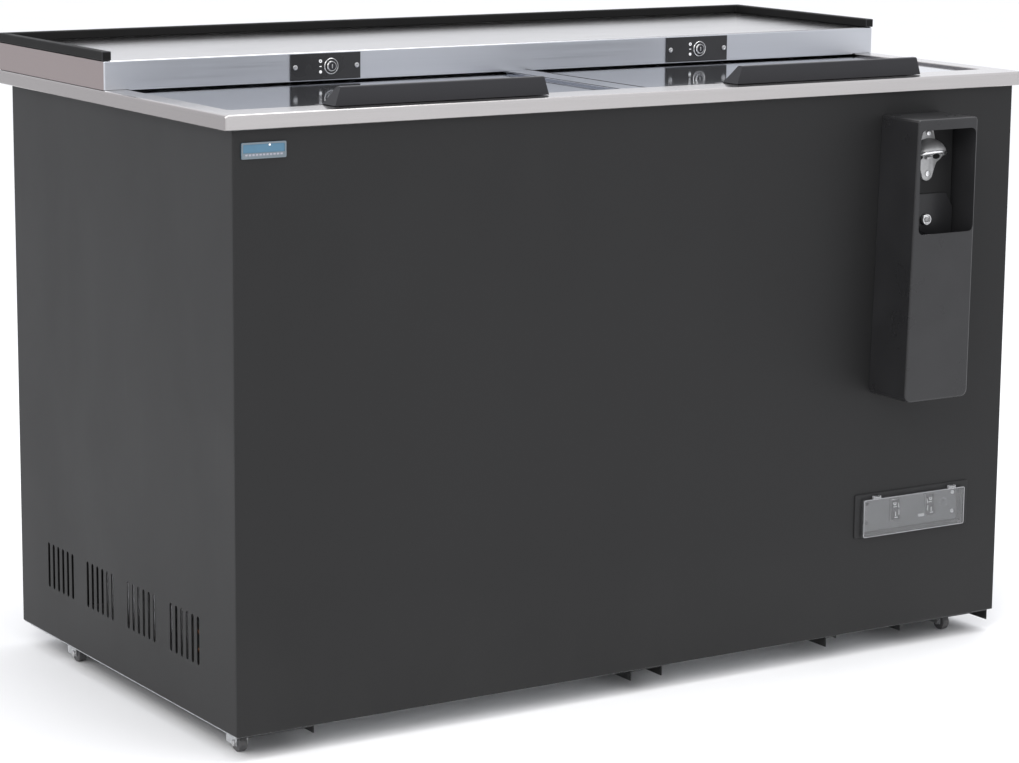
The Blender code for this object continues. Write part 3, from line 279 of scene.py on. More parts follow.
def zinc_coated(name, colour):
    """Galvanised sheet: spangle cells of slightly different grey, and a dull haze."""
    finish = Finish(name, metallic=1.0, colour=colour, roughness=0.42)
    spangle = finish.add("ShaderNodeSeparateColor", {"Color": finish.cells(170.0)}).outputs[0]
    haze = finish.noise((22.0, 22.0, 22.0), 4.0, 0.6)
    fine = finish.noise((900.0, 900.0, 900.0), 2.0)
    base = finish.mix(spangle, shade(colour, 0.80), shade(colour, 1.12))
    base = finish.mix(finish.span(haze, 0.5, 0.8, 0.0, 0.5), base, shade(colour, 0.72))
    finish.set("Base Color", base)
    finish.set("Roughness", finish.sums(finish.span(spangle, 0.0, 1.0, 0.32, 0.48),
                                        finish.span(haze, 0.4, 0.8, 0.0, 0.12)))
    finish.bump(finish.sums(spangle, fine), 0.12, 0.0002)
    return finish.material


def cast_metal(name, colour, roughness, metallic=1.0):
    """Tumbled casting with a bright plated skin: soft pits and darker hollows."""
    finish = Finish(name, metallic=metallic, colour=colour, roughness=roughness)
    pits = finish.noise((650.0, 650.0, 650.0), 4.0, 0.65)
    waves = finish.noise((120.0, 120.0, 120.0), 3.0, 0.5)
    finish.set("Base Color", finish.mix(finish.span(waves, 0.3, 0.7, 0.0, 1.0), shade(colour, 0.86),
                                        shade(colour, 1.08)))
    finish.set("Roughness", finish.span(pits, 0.3, 0.7, roughness - 0.06, roughness + 0.08))
    finish.bump(finish.sums(pits, waves), 0.08, 0.0002)
    return finish.material


def finned(name, colour, pitch, axis):
    """Stack of thin aluminium fins, as fine parallel ridges across one axis, with painted shade in the gaps
    between fins.
    """
    finish = Finish(name, metallic=0.85, colour=colour, roughness=0.45)
    direction = "XYZ"[axis]
    ridges = finish.add(
        "ShaderNodeTexWave",
        {"Vector": finish.place, "Scale": 1.0 / pitch / 20.0 * math.pi, "Distortion": 0.15, "Detail": 1.0,
         "Detail Scale": 2.0},
        bands_direction=direction,
    ).outputs["Fac"]
    dust = finish.noise((60.0, 60.0, 60.0), 4.0, 0.65)
    # The dark bands between ridges are painted shade in the gaps between the fins.
    base = finish.mix(ridges, shade(colour, 0.35), colour)
    base = finish.mix(finish.span(dust, 0.45, 0.75, 0.0, 0.6), base, (0.16, 0.15, 0.14))
    finish.set("Base Color", base)
    finish.set("Roughness", finish.span(dust, 0.3, 0.7, 0.38, 0.62))
    finish.bump(ridges, 0.7, 0.0012)
    return finish.material


def foamed(name, colour):
    """Cut foam edge and skinned board: shallow cells and a slight yellowing."""
    finish = Finish(name, specular=0.25, colour=colour, roughness=0.78)
    cell = finish.cells(520.0, "F1", "Distance")
    drift = finish.noise((12.0, 12.0, 12.0), 4.0, 0.6)
    finish.set("Base Color", finish.mix(finish.span(drift, 0.3, 0.7, 0.0, 1.0), shade(colour, 0.94),
                                        shade(colour, 1.04)))
    finish.set("Roughness", finish.span(drift, 0.3, 0.7, 0.70, 0.86))
    finish.bump(cell, 0.3, 0.0004)
    return finish.material


def tyre(name, colour):
    """Moulded wheel: matt, scuffed and dusty on the tread."""
    finish = Finish(name, specular=0.3, colour=colour, roughness=0.7)
    grit = finish.noise((700.0, 700.0, 700.0), 4.0, 0.7)
    dust = finish.noise((110.0, 110.0, 110.0), 3.0, 0.6)
    finish.set("Base Color", finish.mix(finish.span(dust, 0.4, 0.75, 0.0, 0.6), colour, (0.16, 0.155, 0.15)))
    finish.set("Roughness", finish.span(grit, 0.3, 0.7, 0.60, 0.82))
    finish.bump(grit, 0.3, 0.0003)
    return finish.material


def clear_cover(name):
    """Clear moulded cover, slightly smoked, with hairline scratches."""
    colour = (0.80, 0.81, 0.82)
    finish = Finish(name, specular=0.5, colour=colour, roughness=0.05)
    finish.set("Transmission Weight", 0.94)
    finish.set("IOR", 1.46)
    hairs = finish.noise((35.0, 30.0, 900.0), 4.0, 0.7, 0.8)
    clouds = finish.noise((40.0, 40.0, 40.0), 3.0, 0.6)
    finish.set("Base Color", finish.mix(finish.span(clouds, 0.3, 0.7, 0.0, 1.0), shade(colour, 0.92), colour))
    finish.set("Roughness", finish.sums(finish.span(clouds, 0.3, 0.7, 0.03, 0.07),
                                        finish.span(hairs, 0.6, 0.8, 0.0, 0.08)))
    finish.bump(hairs, 0.03, 0.0001)
    return finish.material


def floor_finish(name):
    """Plain pale floor with a very slight mottling."""
    finish = Finish(name, specular=0.1, colour=(0.90, 0.90, 0.90), roughness=0.8)
    mottle = finish.noise((3.0, 3.0, 3.0), 4.0, 0.6)
    finish.set("Base Color", finish.mix(finish.span(mottle, 0.3, 0.7, 0.0, 1.0), (0.90, 0.90, 0.90),
                                        (0.915, 0.915, 0.915)))
    return finish.material


LOOKS = {
    "black_paint": painted("black_coat", (0.014, 0.014, 0.0142), 0.50, specular=0.22, dust=0.03),
    # The last colour is painted side shade for faces turned to the sides.
    "stainless": brushed_steel("brushed_stainless_side_shade", (0.52, 0.50, 0.49), 0.20, 0, 0.025, 0.025,
                               (0.33, 0.31, 0.305)),
    "polished_stainless": brushed_steel("lid_stainless", (0.40, 0.415, 0.455), 0.07, 0, 0.02, 0.006),
    "galvanised": zinc_coated("zinc_sheet", (0.58, 0.59, 0.60)),
    "foam": foamed("foam_core", (0.80, 0.76, 0.62)),
    "white_plastic": moulded("white_moulding", (0.74, 0.74, 0.72), 0.38),
    "grey_plastic": moulded("grey_moulding", (0.13, 0.132, 0.136), 0.42),
    "black_plastic": moulded("black_moulding", (0.018, 0.018, 0.019), 0.30),
    "cast_steel": cast_metal("plated_casting", (0.56, 0.56, 0.56), 0.30),
    "badge_blue": moulded("badge_enamel", (0.072, 0.155, 0.225), 0.30, 0.3, 500.0, 0.03, 0.02),
    "clear_plastic": clear_cover("clear_moulding"),
    "fin_metal": finned("fin_stack", (0.62, 0.63, 0.64), 0.0022, 1),
    "wire_coat": moulded("wire_coating", (0.78, 0.78, 0.76), 0.33),
    "wheel_rubber": tyre("wheel_polymer", (0.075, 0.075, 0.077)),
}
EXTRA = {
    "fins_across": finned("coil_fins", (0.62, 0.63, 0.64), 0.0035, 0),
    "copper": cast_metal("drawn_copper", (0.62, 0.30, 0.18), 0.30),
    "worn_bright": cast_metal("worn_bright_lip", (0.90, 0.90, 0.90), 0.28),
    "satin_cast": cast_metal("satin_casting", (0.42, 0.42, 0.42), 0.42, 0.55),
    # Near-black: painted shade for the opener's side pockets.
    "pocket_shade_disc": moulded("painted_pocket_shade", (0.006, 0.006, 0.006), 0.65, 0.2),
    "handle_coat": painted("handle_coat", (0.017, 0.017, 0.0195), 0.42, 520.0, 0.32),
    "bezel_coat": moulded("bezel_moulding", (0.013, 0.013, 0.0135), 0.38, 0.25),
    # Pale grey: frosted sawn edge of the clear cover, lightened as a painted highlight of the glow along its
    # edges.
    "frosted_edge": moulded("sawn_clear_edge", (0.30, 0.30, 0.31), 0.30),
    "guard_rubber": moulded("guard_extrusion", (0.010, 0.010, 0.010), 0.55, 0.08, 700.0, 0.2),
    # The two last colours are painted shade: darker, warmer side faces and a darker top.
    "shelf_steel": brushed_steel("shelf_stainless_painted_shade", (0.51, 0.525, 0.555), 0.34, 0, 0.02, 0.02,
                                 (0.29, 0.245, 0.24),
                                 (0.29, 0.28, 0.277)),
    "mark_white": moulded("printed_mark", (0.80, 0.80, 0.80), 0.45),
    "badge_rim": brushed_steel("badge_border", (0.20, 0.235, 0.26), 0.40, 0, 0.05, 0.05),
    "badge_pale": moulded("badge_print", (0.30, 0.30, 0.34), 0.4, 0.2),
    "liner": brushed_steel("liner_sheet", (0.60, 0.61, 0.62), 0.34, 2, 0.05),
    "insulated_red": moulded("wire_red", (0.35, 0.03, 0.025), 0.4),
    "insulated_blue": moulded("wire_blue", (0.03, 0.07, 0.30), 0.4),
    "insulated_green": moulded("wire_green", (0.05, 0.22, 0.05), 0.4),
}
NODE_LOOKS = {
    "lid_handle_left": EXTRA["handle_coat"],
    "lid_handle_right": EXTRA["handle_coat"],
    "bumper": EXTRA["guard_rubber"],
    "riser": EXTRA["shelf_steel"],
    "centre_mullion": LOOKS["polished_stainless"],
    "control_bezel": EXTRA["bezel_coat"],
    "tank_liner": EXTRA["liner"],
    "evaporator": EXTRA["fins_across"],
}


def dress_nodes():
    """Every CAD node gets the material of its record slot, or its own where one is listed."""
    for name, node in NODES.items():
        for slot in node.material_slots:
            key = slot.material.name.split(".")[0] if slot.material else "black_paint"
            slot.material = NODE_LOOKS.get(name) or LOOKS[key]


# ---- mesh helpers ---------------------------------------------------------------------------------
def mesh_piece(name, bm, material, smooth=35.0):
    bmesh.ops.recalc_face_normals(bm, faces=bm.faces)
    mesh = bpy.data.meshes.new(name)
    bm.to_mesh(mesh)
    bm.free()
    mesh.materials.append(material)
    mesh.shade_smooth()
    mesh.set_sharp_from_angle(angle=math.radians(smooth))
    obj = bpy.data.objects.new(name, mesh)
    bpy.context.scene.collection.objects.link(obj)
    return obj


def fix(piece, body):
    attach(piece, body)
    return piece


def aimed(direction, location):
    """Matrix that turns local +Z to the direction and moves to the location."""
    return Matrix.Translation(Vector(location)) @ Vector(direction).to_track_quat("Z",
                                                                                  "Y").to_matrix().to_4x4()


def bridge(bm, loops, closed=False):
    """Joins each loop of vertices to the next one."""
    pairs = list(zip(loops, loops[1:]))
    if closed:
        pairs.append((loops[-1], loops[0]))
    for first, second in pairs:
        for i in range(len(first)):
            j = (i + 1) % len(first)
            bm.faces.new((first[i], first[j], second[j], second[i]))


def lathe(profile, sides=32, wobble=None):
    """Turned solid about local Z from (radius, height) pairs. A radius of 0 closes an end."""
    bm = bmesh.new()
    loops = []
    ends = []
    for step, (radius, height) in enumerate(profile):
        if radius == 0:
            ends.append((step, bm.verts.new((0, 0, height))))
            continue
        ring = []
        for i in range(sides):
            angle = 2 * math.pi * i / sides
            reach = radius * (wobble(step, i) if wobble else 1.0)
            ring.append(bm.verts.new((reach * math.cos(angle), reach * math.sin(angle), height)))
        loops.append(ring)
    bridge(bm, loops, closed=not ends)
    for step, tip in ends:
        ring = loops[0] if step == 0 else loops[-1]
        for i in range(sides):
            bm.faces.new((ring[i], ring[(i + 1) % sides], tip))
    return bm


def tube(points, radius, sides=10):
    """Closed round bar along a line of points."""
    bm = bmesh.new()
    points = [Vector(p) for p in points]
    tangent = (points[1] - points[0]).normalized()
    side = tangent.orthogonal().normalized()
    loops = []
    for i, point in enumerate(points):
        before = points[max(0, i - 1)]
        after = points[min(len(points) - 1, i + 1)]
        tangent = (after - before).normalized()
        side = (side - tangent * side.dot(tangent)).normalized()
        other = tangent.cross(side)
        ring = []
        for k in range(sides):
            angle = 2 * math.pi * k / sides
            ring.append(bm.verts.new(point + radius * (math.cos(angle) * side + math.sin(angle) * other)))
        loops.append(ring)
    bridge(bm, loops)
    bm.faces.new(loops[0])
    bm.faces.new(loops[-1])
    return bm


def rounded(points, radius, steps=5):
    """Line through the points with each inner corner turned into an arc."""
    points = [Vector(p) for p in points]
    line = [points[0]]
    for before, corner, after in zip(points, points[1:], points[2:]):
        back = (before - corner).normalized()
        ahead = (after - corner).normalized()
        start = corner + back * radius
        end = corner + ahead * radius
        for step in range(steps + 1):
            share = step / steps
            line.append(start.lerp(corner, share).lerp(corner.lerp(end, share), share))
    line.append(points[-1])
    return line


def plate(outline, depth, bevel=0.0):
    """Solid from an outline in local XY, from z = 0 up to the depth, with its upper edge bevelled."""
    bm = bmesh.new()
    centre = Vector((sum(x for x, y in outline) / len(outline), sum(y for x, y in outline) / len(outline)))
    levels = [(0.0, 0.0), (0.0, depth - bevel)]
    if bevel:
        levels += [(bevel * 0.35, depth - bevel * 0.35), (bevel, depth)]
    loops = []
    for inset, height in levels:
        ring = []
        for x, y in outline:
            away = Vector((x, y)) - centre
            reach = (away.length - inset) / away.length
            ring.append(bm.verts.new((centre.x + away.x * reach, centre.y + away.y * reach, height)))
        loops.append(ring)
    bridge(bm, loops)
    bm.faces.new(loops[0])
    bm.faces.new(loops[-1])
    return bm


def round_box(wide, tall, radius, steps=4):
    """Outline of a rectangle about the origin with rounded corners."""
    outline = []
    for sign_x, sign_y, start in ((1, 1, 0), (-1, 1, 90), (-1, -1, 180), (1, -1, 270)):
        for step in range(steps + 1):
            angle = math.radians(start + 90 * step / steps)
            outline.append((sign_x * (wide / 2 - radius) + radius * math.cos(angle),
                            sign_y * (tall / 2 - radius) + radius * math.sin(angle)))
    return outline


def ring_plate(outer, inner, depth):
    """Flat frame between two outlines of the same length."""
    bm = bmesh.new()
    loops = []
    for outline, height in ((outer, 0.0), (outer, depth), (inner, depth), (inner, 0.0)):
        loops.append([bm.verts.new((x, y, height)) for x, y in outline])
    bridge(bm, loops, closed=True)
    return bm


def block(low, high, edge=0.0005):
    """Box with small chamfers all round, in place."""
    bm = bmesh.new()
    low = Vector(low)
    high = Vector(high)
    bmesh.ops.create_cube(bm, size=1.0)
    for vert in bm.verts:
        for k in range(3):
            vert.co[k] = low[k] if vert.co[k] < 0 else high[k]
    bmesh.ops.bevel(bm, geom=bm.edges[:], offset=edge, segments=2, profile=0.6, affect="EDGES")
    return bm


def screw_mesh(radius, height):
    """Pan-head screw with its seat at z = 0. The cross recess is sunk by moving the crown's points."""
    sides = 24
    profile = [(radius, 0.0), (radius, height * 0.35), (radius * 0.92, height * 0.72),
               (radius * 0.70, height * 0.95),
               (radius * 0.56, height), (radius * 0.40, height), (radius * 0.22, height), (0, height)]
    bm = lathe([(0, 0.0)] + profile, sides)
    for vert in bm.verts:
        reach = math.hypot(vert.co.x, vert.co.y)
        if vert.co.z < height * 0.99 or reach > radius * 0.5:
            continue
        arm = min(abs(vert.co.x), abs(vert.co.y)) < radius * 0.09
        if reach < radius * 0.25 or arm:
            vert.co.z -= height * 0.55
    return bm


def screw(name, location, direction, radius, height, body, material=None, slot="cast_steel"):
    piece = mesh_piece(name, screw_mesh(radius, height), material or LOOKS[slot], 25.0)
    piece.matrix_world = aimed(direction, location)
    return fix(piece, body)


def place(piece, direction, location, body):
    piece.matrix_world = aimed(direction, location)
    return fix(piece, body)


# ---- locks on the shelf face ----------------------------------------------------------------------
def cylinder_centre(side):
    """Middle of the key cylinder's face. Its cam reaches to the left of it, so the right edge places it."""
    low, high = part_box("lock_cylinder_" + side)
    return Vector((high.x - LOCK_CYLINDER_RADIUS, low.y, (low.z + high.z) / 2))


def dress_lock(side):
    """Screws, trim ring and plain marks on the lock plate, and the dished face of the turning cylinder."""
    low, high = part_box("lock_plate_" + side)
    face = low.y - CLEAR
    middle = (low.x + high.x) / 2
    centre = cylinder_centre(side)
    for number, shift in enumerate((-LOCK_SCREW_OFFSET, LOCK_SCREW_OFFSET)):
        screw("lock_screw_%s_%d" % (side, number), (middle + shift, face, centre.z), FRONT, 0.0036, 0.0017,
              "cabinet")
    ring = lathe([(0.0094, 0.0), (0.0108, 0.0), (0.0108, 0.0006), (0.0104, 0.0010), (0.0098, 0.0010),
                  (0.0094, 0.0006)], 40)
    place(mesh_piece("lock_ring_" + side, ring, LOOKS["cast_steel"]), FRONT, (centre.x, face, centre.z),
          "cabinet")
    marks = (("open", LOCK_MARK_RISE), ("mid", 0.0), ("shut", -LOCK_MARK_RISE))
    for name, rise in marks:
        spot = (centre.x - LOCK_MARK_ACROSS, face, centre.z + rise)
        if name == "mid":
            bm = plate(round_box(0.0034, 0.0012, 0.0005), 0.0005, 0.0002)
        elif name == "open":
            bm = lathe([(0.0009, 0.0), (0.0024, 0.0), (0.0023, 0.0005), (0.0009, 0.0005)], 20)
        else:
            bm = lathe([(0, 0.0), (0.0022, 0.0), (0.0021, 0.0005), (0, 0.0006)], 20)
        place(mesh_piece("lock_mark_%s_%s" % (side, name), bm, EXTRA["mark_white"]), FRONT, spot, "cabinet")
    # The face of the turning cylinder: a raised ring round a dark dished face, and a bright key slot.
    front = (centre.x, centre.y - CLEAR, centre.z)
    dish = lathe([(0, 0.0), (0.0058, 0.0), (0.0056, 0.0003), (0, 0.0003)], 32)
    place(mesh_piece("lock_dish_" + side, dish, EXTRA["handle_coat"]), FRONT, front, "lock_" + side)
    collar = lathe([(0.0056, 0.0), (0.0066, 0.0), (0.0065, 0.0006), (0.0057, 0.0006)], 32)
    place(mesh_piece("lock_collar_" + side, collar, LOOKS["cast_steel"]), FRONT, front, "lock_" + side)
    slot = plate(round_box(0.0014, 0.0058, 0.0006), 0.0007, 0.0002)
    place(mesh_piece("lock_key_slot_" + side, slot, LOOKS["cast_steel"]), FRONT, front, "lock_" + side)


# ---- badge ----------------------------------------------------------------------------------------
def dress_badge():
    """Plain enamel badge: grey border, a pale strip with a row of dashes along its foot, and one light dot."""
    low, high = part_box("badge")
    wide, tall = high.x - low.x, high.z - low.z
    middle = Vector(((low.x + high.x) / 2, low.y - CLEAR, (low.z + high.z) / 2))
    inner = round_box(wide - 2 * BADGE_BORDER, tall - 2 * BADGE_BORDER, 0.0010)
    border = ring_plate(round_box(wide, tall, 0.0015), inner, 0.0004)
    place(mesh_piece("badge_border", border, EXTRA["badge_rim"]), FRONT, middle, "cabinet")
    strip = plate(round_box(wide - 0.0040, tall * 0.28, 0.0006), 0.0003, 0.0001)
    place(mesh_piece("badge_strip", strip, EXTRA["badge_rim"]), FRONT, middle - UP * tall * 0.28,
          "cabinet")
    for number in range(BADGE_DASHES):
        dash = plate(round_box(0.0032, 0.0022, 0.0004), 0.0005, 0.0001)
        spot = middle + RIGHT * (number / (BADGE_DASHES - 1) - 0.5) * wide * 0.78 - UP * tall * 0.26
        place(mesh_piece("badge_dash_%d" % number, dash, EXTRA["badge_pale"]), FRONT, spot, "cabinet")
    dot = lathe([(0, 0.0), (0.0014, 0.0), (0.0013, 0.0005), (0, 0.0006)], 18)
    place(mesh_piece("badge_dot", dot, EXTRA["mark_white"]), FRONT,
          middle + RIGHT * wide * 0.13 + UP * tall * 0.32,
          "cabinet")


# ---- opener, catcher ------------------------------------------------------------------------------
def lip_rise(share, angle):
    """The hood's lower edge arches up towards its middle."""
    return LIP_ARCH * share * share * math.sin(angle)


def opener_hood(centre_x, rear, top):
    """Curved cast hood with an even wall: a half dome that flares to an arched lip."""
    bm = bmesh.new()
    across = 28
    down = 12
    skins = []
    for wall in (0.0, HOOD_WALL):
        rings = []
        for step in range(down + 1):
            share = step / down
            reach = math.sin(share * math.pi / 2) ** 0.85
            half = max(0.0014, HOOD_HALF * (0.10 + 0.90 * reach) - wall)
            deep = max(0.0010, 0.0003 + HOOD_DEEP * math.sin(share * math.pi / 2) - wall)
            drop = HOOD_DROP * share ** 1.6
            ring = []
            for i in range(across + 1):
                angle = math.pi * i / across
                ring.append(bm.verts.new((centre_x + half * math.cos(angle), rear - deep * math.sin(angle),
                                          top - wall * 0.9 * (1 - share) - drop + lip_rise(share, angle))))
            rings.append(ring)
        skins.append(rings)
    for rings in skins:
        for first, second in zip(rings, rings[1:]):
            for i in range(across):
                bm.faces.new((first[i], first[i + 1], second[i + 1], second[i]))
    outer, inner = skins
    for i in range(across):
        bm.faces.new((outer[-1][i], outer[-1][i + 1], inner[-1][i + 1], inner[-1][i]))
        bm.faces.new((outer[0][i], outer[0][i + 1], inner[0][i + 1], inner[0][i]))
    for first, second in zip(range(down), range(1, down + 1)):
        for end in (0, -1):
            bm.faces.new((outer[first][end], outer[second][end], inner[second][end], inner[first][end]))
    return bm


def opener_outline():
    """Back plate: a round tab above, wings level with the lip, and a long tab below."""
    outline = []
    for degrees in range(10, 171, 10):
        angle = math.radians(degrees)
        outline.append((0.0100 * math.cos(angle), 0.0275 + 0.0095 * math.sin(angle)))
    flank = [(0.0140, 0.0150), (0.0240, 0.0020), (0.0275, -0.0040), (0.0225, -0.0088), (0.0165, -0.0125),
             (0.0130, -0.0200)]
    outline += [(-x, y) for x, y in flank]
    for degrees in range(185, 356, 10):
        angle = math.radians(degrees)
        outline.append((0.0100 * math.cos(angle), -0.0275 + 0.0100 * math.sin(angle)))
    outline += list(reversed(flank))
    return outline


def dress_opener():
    """Cast opener in place of the CAD one: back plate, hood, bright lip, tooth, near-black discs of painted
    shade for the side pockets, and screws.
    """
    low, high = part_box("bottle_opener")
    centre_x = (low.x + high.x) / 2
    rear = high.y
    middle = low.z + OPENER_MIDDLE
    back = mesh_piece("opener_back", plate(opener_outline(), 0.0036, 0.0010), EXTRA["satin_cast"])
    back.matrix_world = Matrix.Translation((centre_x, rear, middle)) @ Matrix.Rotation(math.radians(90), 4,
                                                                                       "X")
    fix(back, "cabinet")
    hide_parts("bottle_opener")
    hood = mesh_piece("opener_hood", opener_hood(centre_x, rear - 0.0008, middle + 0.0215),
                      EXTRA["satin_cast"], 50.0)
    fix(hood, "cabinet")
    lip = []
    for i in range(33):
        angle = math.pi * i / 32
        lip.append((centre_x + LIP_HALF * math.cos(angle), rear - 0.0012 - LIP_DEEP * math.sin(angle),
                    middle - 0.0036 + lip_rise(1.0, angle)))
    fix(mesh_piece("opener_lip", tube(lip, LIP_RADIUS, 12), EXTRA["worn_bright"], 60.0), "cabinet")
    tooth = mesh_piece("opener_tooth", block((centre_x - 0.0055, rear - 0.0090, middle - 0.0075),
                                             (centre_x + 0.0055, rear - 0.0030, middle - 0.0035), 0.0012),
                       EXTRA["satin_cast"])
    fix(tooth, "cabinet")
    # The side pockets are near-black discs on the back plate: painted shade for the recesses.
    for side, sign in SIDES:
        pocket = plate([(x * 1.35, y * 0.72) for x, y in round_box(0.0096, 0.0096, 0.0046, 6)], 0.0005,
                       0.0002)
        place(mesh_piece("opener_pocket_" + side, pocket, EXTRA["pocket_shade_disc"]), FRONT,
              (centre_x + sign * 0.0150, rear - 0.0035, middle - 0.0046), "cabinet")
    for name, rise in (("low", -0.0275), ("top", 0.0285)):
        screw("opener_screw_" + name, (centre_x, rear - 0.0037, middle + rise), FRONT, 0.0042, 0.0022,
              "cabinet",
              EXTRA["worn_bright"])


def dress_thumb_screw():
    """Knurled head in place of the CAD one, with a satin disc and a plain shank."""
    low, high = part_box("thumb_screw")
    centre = ((low.x + high.x) / 2, low.y + 0.0050, (low.z + high.z) / 2)
    radius = (high.x - low.x) / 2

    def knurl(step, i):
        return 0.955 if step in (2, 3) and i % 2 else 1.0

    profile = [(0, 0.0), (radius * 0.90, 0.0), (radius, 0.0008), (radius, 0.0042), (radius * 0.90, 0.0050),
               (radius * 0.76, 0.0050), (radius * 0.66, 0.0036), (radius * 0.56, 0.0036), (0, 0.0036)]
    head = mesh_piece("thumb_head", lathe(profile, 56, knurl), EXTRA["worn_bright"])
    place(head, FRONT, centre, "catcher_screw")
    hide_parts("thumb_screw")
    disc = lathe([(0, 0.0040), (radius * 0.50, 0.0040), (radius * 0.48, 0.0052), (radius * 0.30, 0.0055),
                  (0, 0.0055)], 28)
    place(mesh_piece("thumb_disc", disc, EXTRA["satin_cast"]), FRONT, centre, "catcher_screw")
    shank = lathe([(0, -0.0078), (0.0025, -0.0078), (0.0025, 0.0002), (0, 0.0002)], 16)
    place(mesh_piece("thumb_shank", shank, LOOKS["cast_steel"]), FRONT, centre, "catcher_screw")


# ---- controls -------------------------------------------------------------------------------------
def rocker_marks(inner):
    """Plain white marks on a rocker: name, half, offset across, height, width and length of each."""
    edge = inner * 0.0052
    marks = [("rule_top", 1, edge, 0.0066, 0.0011, 0.0110), ("rule_low", -1, edge, -0.0066, 0.0011, 0.0110)]
    marks += [("ring", 1, -inner * 0.0010, 0.0080, 0.0, 0.0),
              ("dash", -1, -inner * 0.0010, -0.0075, 0.0016, 0.0070)]
    marks += [("bar_top", 1, -inner * 0.0005, 0.0030, 0.0070, 0.0011),
              ("bar_low", -1, -inner * 0.0010, -0.0118, 0.0060, 0.0014)]
    return marks


def dress_controls():
    """Switch surrounds and marks, screws, pilot lens, thermostat spindle, and the flap's edges and hinge."""
    plate_low, plate_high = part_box("control_plate")
    face = plate_low.y - CLEAR
    for name, inner in (("power_switch", 1), ("light_switch", -1)):
        low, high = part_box(name)
        x, z = (low.x + high.x) / 2, (low.z + high.z) / 2
        wide, tall = high.x - low.x, high.z - low.z
        surround = ring_plate(round_box(wide + 0.0052, tall + 0.0070, 0.0022),
                              round_box(wide + 0.0008, tall + 0.0044, 0.0012),
                              0.0020)
        place(mesh_piece(name + "_surround", surround, LOOKS["grey_plastic"]), FRONT, (x, face, z), "cabinet")
        tilt = Matrix.Rotation(math.radians(ROCKER_TILT), 3, "X")
        pivot = Vector((x, (low.y + high.y) / 2 + 0.0012, z))
        for key, half, along, up_by, wide_by, tall_by in rocker_marks(inner):
            lean = math.radians(ROCKER_TILT) - half * math.atan2(ROCKER_CROWN, tall / 2)
            out = Vector((0, -math.cos(lean), -math.sin(lean)))
            reach = abs(up_by) * 2 / tall
            spot = pivot + tilt @ Vector((along, -ROCKER_REACH - ROCKER_CROWN * reach, up_by))
            if key == "ring":
                bm = lathe([(0.0013, 0.0), (0.0028, 0.0), (0.0027, 0.0003), (0.0013, 0.0003)], 22)
            else:
                bm = plate(round_box(wide_by, tall_by, 0.0004), 0.0003, 0.0001)
            piece = mesh_piece("%s_%s" % (name, key), bm, EXTRA["mark_white"])
            place(piece, out, spot, name)
    right = plate_high.x - 0.0080
    for number, z in enumerate((plate_low.z + 0.0120, plate_high.z - 0.0045)):
        screw("control_screw_%d" % number, (right, face, z), FRONT, 0.0030, 0.0015, "cabinet",
              EXTRA["worn_bright"])
        screw("control_screw_%d" % (number + 2), (plate_low.x + 0.0080, face, z), FRONT, 0.0026, 0.0013,
              "cabinet",
              EXTRA["handle_coat"], "black_plastic")
    low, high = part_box("light_switch")
    lens = plate(round_box(0.0120, 0.0040, 0.0014), 0.0014, 0.0006)
    place(mesh_piece("pilot_lens", lens, EXTRA["mark_white"]), FRONT, (low.x - 0.0070, face, low.z),
          "cabinet")
    low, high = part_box("thermostat")
    spindle = lathe([(0, 0.0), (0.0050, 0.0), (0.0050, 0.0006), (0.0036, 0.0010), (0.0036, 0.0020),
                     (0, 0.0020)], 28)
    place(mesh_piece("thermostat_spindle", spindle, LOOKS["grey_plastic"]), FRONT,
          ((low.x + high.x) / 2, face, (low.z + high.z) / 2), "cabinet")
    for number in range(DIAL_TICKS):
        angle = math.radians(-120 + 40 * number)
        tick = plate(round_box(0.0006, 0.0018, 0.0002), 0.0002)
        piece = mesh_piece("dial_tick_%d" % number, tick, EXTRA["mark_white"])
        across = (low.x + high.x) / 2 + DIAL_RADIUS * math.sin(angle)
        spot = Vector((across, face, (low.z + high.z) / 2 + DIAL_RADIUS * math.cos(angle)))
        piece.matrix_world = aimed(FRONT, spot) @ Matrix.Rotation(angle + math.pi, 4, "Z")
        fix(piece, "cabinet")
    # Edges of the clear cover, pale grey as frosted sawn edges and as a painted highlight of light glowing
    # along them, and bright hinge pins through its two knuckles.
    low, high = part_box("control_flap")
    wide, tall = high.x - low.x, high.z - low.z - KNUCKLE_HEIGHT
    rim = ring_plate(round_box(wide, tall, 0.0025), round_box(wide - 0.0022, tall - 0.0022, 0.0016), 0.0002)
    place(mesh_piece("flap_rim", rim, EXTRA["frosted_edge"]), FRONT,
          ((low.x + high.x) / 2, low.y + 0.0007, low.z + tall / 2),
          "flap")
    for number, x in enumerate((low.x + 0.0237, high.x - 0.0228)):
        pin = lathe([(0, -PIN_HALF), (0.0010, -PIN_HALF), (0.0010, PIN_HALF), (0, PIN_HALF)], 14)
        place(mesh_piece("flap_pin_%d" % number, pin, LOOKS["cast_steel"]), RIGHT,
              (x, low.y + 0.0018, high.z - 0.0024),
              "flap")
        for end in (-1, 1):
            lug = block((x + end * 0.0052 - 0.0009, low.y + 0.0004, high.z - 0.0046),
                        (x + end * 0.0052 + 0.0009, low.y + 0.0054, high.z - 0.0002), 0.0004)
            fix(mesh_piece("bezel_lug_%d_%s" % (number, "ab"[end > 0]), lug, EXTRA["frosted_edge"]),
                "cabinet")


